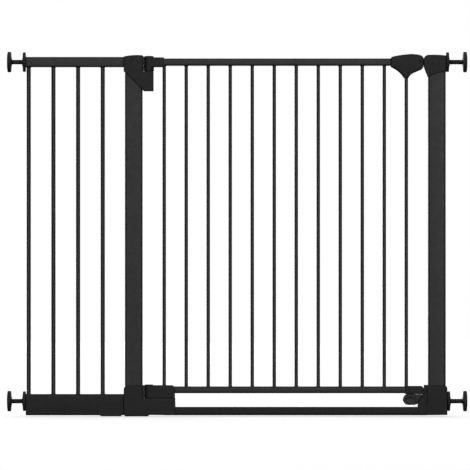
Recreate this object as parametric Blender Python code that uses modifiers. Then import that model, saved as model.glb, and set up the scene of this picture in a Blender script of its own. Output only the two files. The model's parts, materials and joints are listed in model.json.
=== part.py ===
"""A pressure-fit safety gate: a post frame with a threshold, an extension panel and a lift-and-swing door.

Metres, +Z up. The gate's front faces -Y, +X is to the right, and the origin is at the bottom centre of its box.
Every piece keeps GAP to the piece that it touches.
"""

import math

import bmesh
import bpy
from mathutils import Matrix, Vector

GAP = 0.0003

# Heights of the rails and ends of the posts
POST_BOTTOM, POST_TOP = 0.0050, 0.7420
DOOR_TOP_RAIL_Z = (0.7256, 0.7407)
DOOR_BOTTOM_RAIL_Z = (0.0475, 0.0615)
EXTENSION_TOP_RAIL_Z = (0.7228, 0.7438)
EXTENSION_BOTTOM_RAIL_Z = (0.0020, 0.0457)
THRESHOLD_Z = (0.0023, 0.0188)
SPINDLE_Z = {"top": 0.7333, "bottom": 0.0311}

# Steel sections
POST_WIDTH, POST_DEPTH, POST_WALL, POST_CORNER = 0.0366, 0.0220, 0.0015, 0.0050
DOOR_RAIL_DEPTH, DOOR_RAIL_WALL, RAIL_CORNER = 0.0150, 0.0012, 0.0022
EXTENSION_TOP_DEPTH, EXTENSION_BOTTOM_DEPTH = 0.0180, 0.0200
THRESHOLD_DEPTH = 0.0300
DOOR_BAR_RADIUS, EXTENSION_BAR_RADIUS = 0.0037, 0.00445

# Places along the gate
LEFT_POST_X, RIGHT_POST_X = -0.2141, 0.4135
HINGE_X = -0.1828
FIRST_DOOR_BAR_X, DOOR_BAR_PITCH, DOOR_BAR_COUNT = -0.1511, 0.04558, 12
FIRST_EXTENSION_BAR_X, EXTENSION_BAR_PITCH, EXTENSION_BAR_COUNT = -0.4317, 0.0511, 4
EXTENSION_END_X = -0.4376
HOUSING_LEFT_X, HOUSING_RIGHT_X = -0.2349, -0.1943
COUPLER_X = (-0.2880, -0.2351)
SEAT_END_X, SEAT_TOP_Z = -0.1283, 0.0375
BRACKET_LEFT_X, BRACKET_RIGHT_X = 0.3768, 0.4348
STRIKE_X = (0.3861, 0.4324)

# Plastic mouldings
MOULDING_DEPTH = 0.0350
CAP_DEPTH = 0.0310
KNUCKLE_TOP_RADIUS, KNUCKLE_LOW_RADIUS, BOSS_RADIUS = 0.0106, 0.0102, 0.0090
KNUCKLE_TOP_Z, KNUCKLE_LOW_Z = (0.7140, 0.7464), (0.0378, 0.0655)
SLEEVE_END_X, SLEEVE_Z, SLEEVE_CLEAR = -0.1516, (0.7228, 0.7430), 0.0022
KNUCKLE_BLOCK_TOP, KNUCKLE_BLOCK_CORNER = 0.0640, 0.0075
ARM_RIGHT_X, ARM_BOTTOM_Z = -0.1732, 0.6732
RIB_Y, RIB_DROP = (-0.0040, 0.0138), 0.0010
EDGE, SMALL_EDGE = 0.0014, 0.0008
PIN_RADIUS, PIN_SQUARE, PIN_TOP_Z, LOW_PIN_TOP_Z = 0.0040, 0.0055, 0.7430, 0.0596
CLOSER_RADIUS, CLOSER_CAVITY_RADIUS, CLOSER_CAVITY_TOP = 0.0075, 0.0110, 0.0315
COVER_Z = (0.0026, 0.0054)

# Latch at the door's top corner, and the lock at its bottom corner
LATCH_LEFT_X, LATCH_CROWN = 0.3180, 0.0032
LATCH_BOLT_X, LATCH_BOLT_Z, LATCH_BOLT_WIDTH = (0.3710, 0.3915), (0.7235, 0.7325), 0.0120
LATCH_RAIL_END_X = 0.3555
LATCH_TRAVEL, LIFT_TRAVEL, RUNNING_CLEAR = 0.0080, 0.0120, 0.0008
BUTTON_X, BUTTON_Z, BUTTON_HALF_WIDTH = (0.3560, 0.3660), (0.7444, 0.7500), 0.0050
LEG_X = (0.3735, 0.3785)
LATCH_SCREWS = {"upper": (0.3395, 0.7178), "lower": (0.3640, 0.7168)}
SCREW_RADIUS, SCREW_HEAD_RADIUS, SCREW_HEAD_DEPTH = 0.0018, 0.0031, 0.0060
LOCK_Z, LOCK_TRAVEL, LOCK_END_X = (0.0235, 0.0455), 0.0100, 0.3860
SLIDE_LEFT_X, SLIDE_HALF_DEPTH = 0.3432, 0.0120
GUIDE_X, GUIDE_HALF_DEPTH, GUIDE_DEPTH = (0.3530, 0.3640), 0.0050, 0.0035
TONGUE_X, TONGUE_Z = (0.3700, 0.3840), (0.0270, 0.0445)
DISH_X, DISH_Z, DISH_FLOOR = (0.3512, 0.3662), (0.0290, 0.0400), 0.0105

# Pressure mounts
SPINDLE_RADIUS, BORE_RADIUS = 0.00485, 0.00515
CUP_RADIUS, WHEEL_RADIUS = 0.02125, 0.0204
WALL_X, CUP_FLOOR = 0.4764, 0.0040
LEFT_SPINDLE_END_X, RIGHT_SPINDLE_END_X = -0.3400, 0.4180
WHEEL_SEAT_X = {
    "top_left": EXTENSION_END_X, "bottom_left": EXTENSION_END_X,
    "top_right": STRIKE_X[1], "bottom_right": BRACKET_RIGHT_X,
}  # fmt: skip
BUSH_RADIUS, FLANGE_RADIUS, FLANGE_LENGTH, PLUG_LENGTH = 0.0062, 0.0069, 0.0040, 0.0180
THRESHOLD_X, THRESHOLD_WALL, THRESHOLD_CORNER = (-0.1500, 0.3920), 0.0015, 0.0020
DOOR_TOP_RAIL_START_X, DOOR_BOTTOM_RAIL_X = -0.1700, (-0.1500, 0.3600)

SIDES = 32
ARC_STEPS = 5
BAR_SIDES, SPINDLE_SIDES = 20, 24

STEEL = ("powder_coated_steel", (0.034, 0.034, 0.036, 1.0), 0.45, 0.0)
PLASTIC = ("moulded_plastic", (0.022, 0.022, 0.023, 1.0), 0.55, 0.0)
ZINC = ("zinc_plated_steel", (0.45, 0.45, 0.46, 1.0), 0.35, 1.0)
SPRING_STEEL = ("spring_steel", (0.30, 0.30, 0.31, 1.0), 0.30, 1.0)
NYLON = ("nylon", (0.09, 0.09, 0.09, 1.0), 0.50, 0.0)


# ---------------------------------------------------------------- scene and materials


def clear_scene():
    """Removes whatever the file held before."""
    for old in list(bpy.data.objects):
        bpy.data.objects.remove(old, do_unlink=True)


def new_collection(name):
    """A collection in the scene, for pieces or for cutters."""
    collection = bpy.data.collections.new(name)
    bpy.context.scene.collection.children.link(collection)
    return collection


def paint(piece, finish):
    """Gives the piece a material of its own, made from (name, colour, roughness, metallic)."""
    name, colour, roughness, metallic = finish
    material = bpy.data.materials.new(f"{name}_{piece.name}")
    material.use_nodes = True
    shader = material.node_tree.nodes["Principled BSDF"]
    shader.inputs["Base Color"].default_value = colour
    shader.inputs["Roughness"].default_value = roughness
    shader.inputs["Metallic"].default_value = metallic
    piece.data.materials.clear()
    piece.data.materials.append(material)


def add_mesh_object(name, mesh):
    """Puts a mesh or a curve among the parts."""
    piece = bpy.data.objects.new(name, mesh)
    PARTS.objects.link(piece)
    return piece


def as_cutter(piece):
    """Moves a shape to the cutters, which are only guides for the Booleans."""
    PARTS.objects.unlink(piece)
    CUTTERS.objects.link(piece)
    piece.hide_render = True
    piece.display_type = "WIRE"
    return piece


def boolean(piece, other, operation):
    """Adds an exact Boolean to the piece and sends the other shape to the cutters."""
    modifier = piece.modifiers.new(f"{operation.lower()}_{other.name}", "BOOLEAN")
    modifier.operation = operation
    modifier.solver = "EXACT"
    modifier.object = as_cutter(other)
    return piece


def cut(piece, other):
    """Takes the other shape away from the piece."""
    return boolean(piece, other, "DIFFERENCE")


def join(piece, other):
    """Moulds the other shape onto the piece."""
    return boolean(piece, other, "UNION")


def keep_common(piece, other):
    """Keeps only what the two shapes share."""
    return boolean(piece, other, "INTERSECT")


def soften(piece, width, segments=2, angle=40):
    """Rounds the edges sharper than the angle, in degrees."""
    modifier = piece.modifiers.new("soft_edges", "BEVEL")
    modifier.width = width
    modifier.segments = segments
    modifier.limit_method = "ANGLE"
    modifier.angle_limit = math.radians(angle)
    return piece


def apply_modifiers(piece):
    """Makes the piece's shape so far its own mesh, so that it can be used again in two places."""
    graph = bpy.context.evaluated_depsgraph_get()
    shaped = bpy.data.meshes.new_from_object(piece.evaluated_get(graph))
    piece.modifiers.clear()
    piece.data = shaped
    return piece


def smooth(piece, angle=35):
    """Shades the piece smooth, but keeps the edges sharper than the angle, in degrees."""
    piece.data.shade_smooth()
    piece.data.set_sharp_from_angle(angle=math.radians(angle))


# ---------------------------------------------------------------- outlines, as lists of (u, v)


def arc(centre, radius, start, end, steps=ARC_STEPS):
    """Points on a circle from the start angle to the end angle, in degrees."""
    turn = [math.radians(start + (end - start) * i / steps) for i in range(steps + 1)]
    return [(centre[0] + radius * math.cos(t), centre[1] + radius * math.sin(t)) for t in turn]


def circle(centre, radius, sides=SIDES):
    """A full circle, without repeating its first point."""
    return arc(centre, radius, 0, 360 - 360 / sides, sides - 1)


def rectangle(low, high, corner=0.0):
    """A rectangle from its low to its high corner, with round corners where a radius is given."""
    if corner == 0.0:
        return [low, (high[0], low[1]), high, (low[0], high[1])]
    inner_low = (low[0] + corner, low[1] + corner)
    inner_high = (high[0] - corner, high[1] - corner)
    return (
        arc((inner_high[0], inner_low[1]), corner, -90, 0)
        + arc(inner_high, corner, 0, 90)
        + arc((inner_low[0], inner_high[1]), corner, 90, 180)
        + arc(inner_low, corner, 180, 270)
    )


def centred(width, height, corner=0.0, centre=(0.0, 0.0)):
    """A rectangle round its centre."""
    low = (centre[0] - width / 2, centre[1] - height / 2)
    high = (centre[0] + width / 2, centre[1] + height / 2)
    return rectangle(low, high, corner)


def bezier(start, first, second, end, steps=ARC_STEPS):
    """Points on a cubic curve, without its last point."""
    points = []
    for i in range(steps):
        t = i / steps
        weights = ((1 - t) ** 3, 3 * t * (1 - t) ** 2, 3 * t * t * (1 - t), t**3)
        corners = (start, first, second, end)
        points.append(tuple(sum(w * p[k] for w, p in zip(weights, corners)) for k in (0, 1)))
    return points


# ---------------------------------------------------------------- solids

# The columns are where an outline's u, v and its extrusion go in the world.
PLANES = {
    "X": Matrix(((0, 0, 1), (1, 0, 0), (0, 1, 0))),
    "Y": Matrix(((1, 0, 0), (0, 0, -1), (0, 1, 0))),
    "Z": Matrix(((1, 0, 0), (0, 1, 0), (0, 0, 1))),
}


def prism(name, loops, axis, low, high):
    """A flat outline, with any holes after it, extruded from low to high along a world axis.

    The outline is in (Y, Z) along X, (X, Z) along Y, and (X, Y) along Z.
    """
    curve = bpy.data.curves.new(name, "CURVE")
    curve.dimensions = "2D"
    curve.fill_mode = "BOTH"
    curve.extrude = (high - low) / 2
    for loop in loops:
        spline = curve.splines.new("POLY")
        spline.points.add(len(loop) - 1)
        spline.points.foreach_set("co", [value for u, v in loop for value in (u, v, 0, 1)])
        spline.use_cyclic_u = True
    guide = bpy.data.objects.new(name, curve)
    middle = Vector({"X": (1, 0, 0), "Y": (0, 1, 0), "Z": (0, 0, 1)}[axis]) * (low + high) / 2
    guide.matrix_world = Matrix.Translation(middle) @ PLANES[axis].to_4x4()
    PARTS.objects.link(guide)
    bpy.context.view_layer.update()
    graph = bpy.context.evaluated_depsgraph_get()
    mesh = bpy.data.meshes.new_from_object(guide.evaluated_get(graph))
    mesh.name = name
    weld(mesh, has_holes=len(loops) > 1)
    place = guide.matrix_world.copy()
    bpy.data.objects.remove(guide)
    piece = add_mesh_object(name, mesh)
    piece.matrix_world = place
    return piece


def weld(mesh, has_holes):
    """Joins a curve's loose caps to its sides, makes a plain cap one face, and turns the faces outwards."""
    shape = bmesh.new()
    shape.from_mesh(mesh)
    bmesh.ops.remove_doubles(shape, verts=shape.verts, dist=1e-6)
    if not has_holes:
        inner = [e for e in shape.edges if all(abs(f.normal.z) > 0.9 for f in e.link_faces)]
        bmesh.ops.dissolve_edges(shape, edges=inner, use_verts=False)
    bmesh.ops.recalc_face_normals(shape, faces=shape.faces)
    shape.to_mesh(mesh)
    shape.free()


def box(name, low, high):
    """A cube primitive stretched between two corners, with its scale applied."""
    mesh = bpy.data.meshes.new(name)
    shape = bmesh.new()
    bmesh.ops.create_cube(shape, size=1.0)
    size = [b - a for a, b in zip(low, high)]
    middle = [(a + b) / 2 for a, b in zip(low, high)]
    bmesh.ops.scale(shape, vec=size, verts=shape.verts)
    shape.to_mesh(mesh)
    shape.free()
    piece = add_mesh_object(name, mesh)
    piece.location = middle
    return piece


def rod(name, start, end, radius, sides=SIDES):
    """A cylinder primitive between two points, with its origin at its middle."""
    start, end = Vector(start), Vector(end)
    mesh = bpy.data.meshes.new(name)
    shape = bmesh.new()
    bmesh.ops.create_cone(
        shape, cap_ends=True, segments=sides, radius1=radius, radius2=radius, depth=(end - start).length
    )
    shape.to_mesh(mesh)
    shape.free()
    piece = add_mesh_object(name, mesh)
    turn = Vector((0, 0, 1)).rotation_difference(end - start)
    piece.matrix_world = Matrix.LocRotScale((start + end) / 2, turn, None)
    return piece


def turned(name, profile, origin, direction, sides=SIDES, on_axis=False):
    """(radius, height) points turned about a line: a closed ring, or an open row that ends on the axis."""
    mesh = bpy.data.meshes.new(name)
    points = [(radius, 0, height) for radius, height in profile]
    edges = [(i, i + 1) for i in range(len(points) - 1)]
    if not on_axis:
        edges.append((len(points) - 1, 0))
    mesh.from_pydata(points, edges, [])
    piece = add_mesh_object(name, mesh)
    screw = piece.modifiers.new("turning", "SCREW")
    screw.axis = "Z"
    screw.angle = math.tau
    screw.steps = sides
    screw.render_steps = sides
    screw.use_merge_vertices = True
    screw.merge_threshold = 0.00001
    turn = Vector((0, 0, 1)).rotation_difference(Vector(direction))
    piece.matrix_world = Matrix.LocRotScale(Vector(origin), turn, None)
    return piece


def coil(name, start, direction, radius, wire, length, turns):
    """A helical spring of round wire along a direction."""
    points_a_turn = 10
    curve = bpy.data.curves.new(name, "CURVE")
    curve.dimensions = "3D"
    curve.bevel_depth = wire / 2
    curve.bevel_resolution = 2
    curve.use_fill_caps = True
    count = points_a_turn * turns + 1
    spline = curve.splines.new("POLY")
    spline.points.add(count - 1)
    for i, point in enumerate(spline.points):
        angle = math.tau * i / points_a_turn
        height = wire / 2 + (length - wire) * i / (count - 1)
        point.co = (radius * math.cos(angle), radius * math.sin(angle), height, 1)
    piece = add_mesh_object(name, curve)
    turn = Vector((0, 0, 1)).rotation_difference(Vector(direction))
    piece.matrix_world = Matrix.LocRotScale(Vector(start), turn, None)
    return piece


# ---------------------------------------------------------------- frame


def post(name, centre_x):
    """A square steel tube with round corners, open at both ends."""
    outer = centred(POST_WIDTH, POST_DEPTH, POST_CORNER, (centre_x, 0))
    inner_corner = POST_CORNER - POST_WALL
    inner = centred(POST_WIDTH - 2 * POST_WALL, POST_DEPTH - 2 * POST_WALL, inner_corner, (centre_x, 0))
    return prism(name, [outer, inner], "Z", POST_BOTTOM, POST_TOP)


def post_pocket(centre_x, low, high):
    """The space that a post takes in a moulding, with GAP all round."""
    outline = centred(POST_WIDTH + 2 * GAP, POST_DEPTH + 2 * GAP, POST_CORNER + GAP, (centre_x, 0))
    return prism("post_pocket", [outline], "Z", low, high)


def tube_along_x(name, low_x, high_x, depth, heights, wall, corner=RAIL_CORNER):
    """A rectangular steel tube that lies along the gate."""
    low_z, high_z = heights
    outer = rectangle((-depth / 2, low_z), (depth / 2, high_z), corner)
    inner = rectangle(
        (wall - depth / 2, low_z + wall), (depth / 2 - wall, high_z - wall), max(corner - wall, 0.0005)
    )
    return prism(name, [outer, inner], "X", low_x, high_x)


def spigot(low_x, high_x, depth, heights, wall):
    """The tongue of a moulding that plugs into a rail's hollow end."""
    clear = wall + GAP
    outline = rectangle((clear - depth / 2, heights[0] + clear), (depth / 2 - clear, heights[1] - clear))
    return prism("spigot", [outline], "X", low_x, high_x)


def top_hinge_housing():
    """The left post's cap and its hinge arm in one face, with a rib that closes the gap beside the knuckle."""
    left, right = HOUSING_LEFT_X, HOUSING_RIGHT_X
    arm_top = KNUCKLE_TOP_Z[0] - GAP
    crown = bezier((right, 0.7468), (-0.2065, 0.7486), (-0.2230, 0.7472), (left, 0.7446), 8)
    outline = crown + [
        (left, 0.7446), (left, 0.7135), (-0.2322, 0.7122), (-0.1958, 0.6758), (-0.1932, ARM_BOTTOM_Z),
        (ARM_RIGHT_X, ARM_BOTTOM_Z), (ARM_RIGHT_X, arm_top), (right, arm_top),
    ]  # fmt: skip
    housing = prism("top_hinge_housing", [outline], "Y", -CAP_DEPTH / 2, CAP_DEPTH / 2)
    soften(housing, EDGE)
    join(housing, knuckle_rib(right, KNUCKLE_TOP_RADIUS, (arm_top - 0.0020, KNUCKLE_TOP_Z[1] - RIB_DROP)))
    join(housing, spigot(-0.2500, left + 0.003, EXTENSION_TOP_DEPTH, EXTENSION_TOP_RAIL_Z, POST_WALL))
    cut(housing, post_pocket(LEFT_POST_X, 0.6500, POST_TOP + GAP))
    bore_low = ARM_BOTTOM_Z + 0.0100
    cut(housing, rod("arm_bore", (HINGE_X, 0, bore_low), (HINGE_X, 0, 0.7300), PIN_RADIUS + GAP, BAR_SIDES))
    return housing


def knuckle_rib(face_x, knuckle_radius, heights):
    """A set-back rib on a moulding's right face, so that no finger fits between it and the knuckle."""
    low = (face_x - 0.0010, RIB_Y[0], heights[0])
    high = (HINGE_X - knuckle_radius - GAP, RIB_Y[1], heights[1])
    return box("knuckle_rib", low, high)


def strike_cap():
    """The right post's cap, with a deep slot in its left side for the latch bolt."""
    left, right = STRIKE_X
    outline = (
        bezier((right, 0.7462), (0.4240, 0.7482), (0.4080, 0.7486), (0.3953, 0.7480), 6)
        + bezier((0.3953, 0.7480), (0.3885, 0.7470), (left, 0.7430), (left, 0.7330), 6)
        + bezier((left, 0.7330), (left, 0.7200), (0.3915, 0.7130), (0.3946, 0.7025), 6)
        + bezier((0.3946, 0.7025), (0.4060, 0.7075), (0.4160, 0.7120), (right, 0.7130), 6)
        + [(right, 0.7130)]
    )
    cap = prism("strike_cap", [outline], "Y", -CAP_DEPTH / 2, CAP_DEPTH / 2)
    soften(cap, EDGE)
    cut(cap, post_pocket(RIGHT_POST_X, 0.6900, POST_TOP + GAP))
    open_side = RIGHT_POST_X + POST_WIDTH / 2 - POST_CORNER
    cut(cap, box("open_side", (open_side, -0.0104, 0.6900), (right + 0.01, 0.0104, POST_TOP + GAP)))
    low, high = LATCH_BOLT_Z
    half = LATCH_BOLT_WIDTH / 2 + RUNNING_CLEAR
    slot_low = (left - 0.0100, -half, low - RUNNING_CLEAR)
    slot_high = (LATCH_BOLT_X[1] + RUNNING_CLEAR, half, high + LIFT_TRAVEL + RUNNING_CLEAR)
    cut(cap, box("bolt_slot", slot_low, slot_high))
    return cap


def base_bracket_left():
    """The left post's foot, with the seat that the door's lower knuckle turns on."""
    left, right = COUPLER_X[1] + GAP, HOUSING_RIGHT_X
    outline = [
        (-0.2318, 0.0), (-0.1846, 0.0), (-0.1822, 0.0030), (-0.1275, 0.0023), (SEAT_END_X, SEAT_TOP_Z),
        (right, SEAT_TOP_Z), (right, 0.0650), (-0.2291, 0.0650), (left, 0.0583), (left, 0.0036),
    ]  # fmt: skip
    bracket = prism("base_bracket_left", [outline], "Y", -MOULDING_DEPTH / 2, MOULDING_DEPTH / 2)
    soften(bracket, EDGE)
    join(bracket, knuckle_rib(right, KNUCKLE_LOW_RADIUS, (SEAT_TOP_Z - 0.0020, KNUCKLE_LOW_Z[1] - RIB_DROP)))
    heights = EXTENSION_BOTTOM_RAIL_Z
    join(bracket, spigot(left - 0.015, left + 0.002, EXTENSION_BOTTOM_DEPTH, heights, POST_WALL))
    cut(bracket, post_pocket(LEFT_POST_X, POST_BOTTOM - GAP, 0.1000))
    centre = (HINGE_X, 0)
    cavity = circle(centre, CLOSER_CAVITY_RADIUS)
    cut(bracket, prism("closer_cavity", [cavity], "Z", -0.0100, CLOSER_CAVITY_TOP))
    cut(bracket, prism("bush_hole", [circle(centre, CLOSER_RADIUS + GAP)], "Z", 0.0200, 0.0500))
    cut(bracket, threshold_pocket(THRESHOLD_X[0] - GAP, -0.1100))
    return bracket


def base_bracket_right():
    """The right post's foot, with the lock's strike on its door side."""
    left, right = BRACKET_LEFT_X, BRACKET_RIGHT_X
    outline = [
        (0.3745, 0.0023), (right, 0.0030), (right, 0.0595), (0.4312, 0.0645),
        (0.3868, 0.0645), (0.3868, 0.0472), (0.3845, 0.0450), (left, 0.0330), (0.3738, 0.0210),
    ]  # fmt: skip
    bracket = prism("base_bracket_right", [outline], "Y", -MOULDING_DEPTH / 2, MOULDING_DEPTH / 2)
    soften(bracket, EDGE)
    cut(bracket, post_pocket(RIGHT_POST_X, POST_BOTTOM - GAP, 0.1000))
    cut(bracket, threshold_pocket(0.3500, THRESHOLD_X[1] + GAP))
    height = SPINDLE_Z["bottom"]
    cut(bracket, rod("spindle_hole", (0.4250, 0, height), (0.4500, 0, height), 0.0070, BAR_SIDES))
    half = GUIDE_HALF_DEPTH + RUNNING_CLEAR
    slot_low = (0.3600, -half, TONGUE_Z[0] - RUNNING_CLEAR)
    slot_high = (TONGUE_X[1] + 0.0020, half, TONGUE_Z[1] + LIFT_TRAVEL + RUNNING_CLEAR)
    cut(bracket, box("lock_slot", slot_low, slot_high))
    return bracket


def threshold_pocket(low_x, high_x):
    """The space that the threshold's end takes in a foot."""
    outline = rectangle(
        (-THRESHOLD_DEPTH / 2 - GAP, -0.0100),
        (THRESHOLD_DEPTH / 2 + GAP, THRESHOLD_Z[1] + GAP),
    )
    return prism("threshold_pocket", [outline], "X", low_x, high_x)


def coupler():
    """A cradle that carries the end of the extension's bottom rail beside the base bracket."""
    half, wall = EXTENSION_BOTTOM_DEPTH / 2 + GAP, 0.0027
    outline = [
        (-half - wall, 0.0), (half + wall, 0.0), (half + wall, 0.0257), (half, 0.0257), (half, 0.0017),
        (-half, 0.0017), (-half, 0.0257), (-half - wall, 0.0257),
    ]  # fmt: skip
    low_x, high_x = COUPLER_X
    cradle = prism("extension_coupler", [outline], "X", low_x, high_x)
    for tip, side in ((low_x, -1), (high_x, 1)):
        foot = [(tip + side * 0.01, -0.01), (tip - side * 0.0058, -0.01), (tip - side * 0.0058, 0.0),
                (tip, 0.0068), (tip + side * 0.01, 0.0068)]  # fmt: skip
        cut(cradle, prism("foot_slope", [foot], "Y", -0.05, 0.05))
    return cradle


def frame_pieces():
    """The two posts, the threshold and the four mouldings that join them."""
    post("post_left", LEFT_POST_X)
    right_post = post("post_right", RIGHT_POST_X)
    hole = BUSH_RADIUS + GAP
    for height in SPINDLE_Z.values():
        cut(right_post, rod("post_hole", (0.4250, 0, height), (0.4400, 0, height), hole, BAR_SIDES))
    tube_along_x(
        "threshold_rail", *THRESHOLD_X, THRESHOLD_DEPTH, THRESHOLD_Z, THRESHOLD_WALL, THRESHOLD_CORNER
    )
    top_hinge_housing()
    strike_cap()
    base_bracket_left()
    base_bracket_right()


def extension_pieces():
    """The fixed panel beside the frame: two rails, four bars and the coupler."""
    end = EXTENSION_END_X
    tube_along_x(
        "extension_top_rail", end, HOUSING_LEFT_X - GAP, EXTENSION_TOP_DEPTH, EXTENSION_TOP_RAIL_Z, POST_WALL
    )
    tube_along_x(
        "extension_bottom_rail", end, COUPLER_X[1], EXTENSION_BOTTOM_DEPTH, EXTENSION_BOTTOM_RAIL_Z, POST_WALL
    )
    coupler()
    low, high = EXTENSION_BOTTOM_RAIL_Z[1] + GAP, EXTENSION_TOP_RAIL_Z[0] - GAP
    for i in range(EXTENSION_BAR_COUNT):
        x = FIRST_EXTENSION_BAR_X + i * EXTENSION_BAR_PITCH
        rod(f"extension_bar_{i + 1}", (x, 0, low), (x, 0, high), EXTENSION_BAR_RADIUS, BAR_SIDES)


# ---------------------------------------------------------------- door


def upper_knuckle():
    """The drum over the hinge arm, in one moulding with the sleeve on the top rail's end."""
    low, high = KNUCKLE_TOP_Z
    knuckle = rod("upper_knuckle", (HINGE_X, 0, low), (HINGE_X, 0, high), KNUCKLE_TOP_RADIUS)
    soften(knuckle, 0.0010)
    half = DOOR_RAIL_DEPTH / 2 + SLEEVE_CLEAR
    outline = rectangle((-half, SLEEVE_Z[0]), (half, SLEEVE_Z[1]), 0.0025)
    sleeve = prism("rail_sleeve", [outline], "X", HINGE_X, SLEEVE_END_X)
    join(knuckle, soften(sleeve, SMALL_EDGE))
    cut(knuckle, rail_pocket(DOOR_TOP_RAIL_START_X - GAP, -0.1300, DOOR_TOP_RAIL_Z))
    bore_top = PIN_TOP_Z + GAP
    cut(knuckle, rod("pin_bore", (HINGE_X, 0, 0.7000), (HINGE_X, 0, bore_top), PIN_RADIUS + GAP, BAR_SIDES))
    bar_x, bar_room = FIRST_DOOR_BAR_X, DOOR_BAR_RADIUS + GAP
    cut(knuckle, rod("bar_notch", (bar_x, 0, 0.7000), (bar_x, 0, 0.7300), bar_room, BAR_SIDES))
    return knuckle


def lower_knuckle():
    """The block on the bottom rail's end that turns on the seat, with a round boss over the pin."""
    low, high = KNUCKLE_LOW_Z
    top, corner = KNUCKLE_BLOCK_TOP, KNUCKLE_BLOCK_CORNER
    radius, right = KNUCKLE_LOW_RADIUS, SEAT_END_X - 0.0005
    left = HINGE_X - radius - 0.01
    side = [(left, low), (right, low)] + arc((right - corner, top - corner), corner, 0, 90) + [(left, top)]
    block = prism("lower_knuckle", [side], "Y", -radius, radius)
    plan = [(right + 0.01, radius)] + arc((HINGE_X, 0), radius, 90, 270, 14) + [(right + 0.01, -radius)]
    keep_common(block, prism("knuckle_plan", [plan], "Z", low - 0.01, high + 0.01))
    boss = rod("knuckle_boss", (HINGE_X, 0, low + 0.01), (HINGE_X, 0, high), BOSS_RADIUS)
    join(block, boss)
    soften(block, SMALL_EDGE)
    cut(block, rail_pocket(DOOR_BOTTOM_RAIL_X[0] - GAP, -0.1100, DOOR_BOTTOM_RAIL_Z))
    bore_top = LOW_PIN_TOP_Z + GAP
    cut(block, rod("pin_bore", (HINGE_X, 0, 0.0200), (HINGE_X, 0, bore_top), PIN_RADIUS + GAP, BAR_SIDES))
    return block


def rail_pocket(low_x, high_x, heights):
    """The space that a door rail takes in a moulding, with GAP all round."""
    half = DOOR_RAIL_DEPTH / 2 + GAP
    outline = rectangle((-half, heights[0] - GAP), (half, heights[1] + GAP), RAIL_CORNER + GAP)
    return prism("rail_pocket", [outline], "X", low_x, high_x)


def hinge_pins():
    """The upper pin that hangs into the arm, and the lower one with its square end for the closer."""
    rod("upper_hinge_pin", (HINGE_X, 0, 0.6900), (HINGE_X, 0, PIN_TOP_Z), PIN_RADIUS, BAR_SIDES)
    round_low = KNUCKLE_LOW_Z[0] - GAP / 2
    pin = rod("lower_hinge_pin", (HINGE_X, 0, round_low), (HINGE_X, 0, LOW_PIN_TOP_Z), PIN_RADIUS, BAR_SIDES)
    square = centred(PIN_SQUARE, PIN_SQUARE, 0.0, (HINGE_X, 0))
    shank = prism("square_shank", [square], "Z", 0.0120, round_low + 0.004)
    join(pin, shank)


def closer():
    """The bush that turns with the door, the spring that brings it back, and the cover below them."""
    low, high = 0.0060, SEAT_TOP_Z - 0.0004
    centre = (HINGE_X, 0)
    socket = centred(PIN_SQUARE + 2 * GAP, PIN_SQUARE + 2 * GAP, 0.0, centre)
    prism("closer_bush", [circle(centre, CLOSER_RADIUS), socket], "Z", low, high)
    coil("closing_spring", (HINGE_X, 0, 0.0070), (0, 0, 1), 0.0094, 0.0016, 0.0235, 7)
    prism("closer_cover", [circle(centre, CLOSER_CAVITY_RADIUS - GAP)], "Z", *COVER_Z)


def door_pieces():
    """The door's two rails, its twelve bars, its knuckles and its pins."""
    start, end = DOOR_TOP_RAIL_START_X, LATCH_RAIL_END_X
    tube_along_x("door_top_rail", start, end, DOOR_RAIL_DEPTH, DOOR_TOP_RAIL_Z, DOOR_RAIL_WALL)
    start, end = DOOR_BOTTOM_RAIL_X
    tube_along_x("door_bottom_rail", start, end, DOOR_RAIL_DEPTH, DOOR_BOTTOM_RAIL_Z, DOOR_RAIL_WALL)
    low, high = DOOR_BOTTOM_RAIL_Z[1] + GAP, DOOR_TOP_RAIL_Z[0] - GAP
    for i in range(DOOR_BAR_COUNT):
        x = FIRST_DOOR_BAR_X + i * DOOR_BAR_PITCH
        foot = low if i else KNUCKLE_BLOCK_TOP + GAP
        rod(f"door_bar_{i + 1:02d}", (x, 0, foot), (x, 0, high), DOOR_BAR_RADIUS, BAR_SIDES)
    upper_knuckle()
    lower_knuckle()
    hinge_pins()


# ---------------------------------------------------------------- latch


def latch_outline():
    """The shield: a crowned top, a round nose at the right, and a point where the last bar enters."""
    return (
        bezier((0.3858, 0.7405), (0.3850, 0.7480), (0.3740, 0.7493), (0.3600, 0.7495), 5)
        + bezier((0.3600, 0.7495), (0.3470, 0.7492), (0.3330, 0.7470), (0.3208, 0.7442), 5)
        + [(0.3208, 0.7442), (LATCH_LEFT_X + 0.0008, 0.7430), (LATCH_LEFT_X, 0.7414)]
        + bezier((LATCH_LEFT_X, 0.7236), (0.3310, 0.7175), (0.3390, 0.7110), (0.3455, 0.7004), 6)
        + bezier((0.3455, 0.7003), (0.3490, 0.6999), (0.3520, 0.6999), (0.3549, 0.7003), 2)
        + bezier((0.3549, 0.7004), (0.3585, 0.7100), (0.3710, 0.7130), (0.3820, 0.7180), 6)
        + bezier((0.3820, 0.7180), (0.3852, 0.7200), (0.3860, 0.7290), (0.3858, 0.7405), 5)
    )


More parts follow.
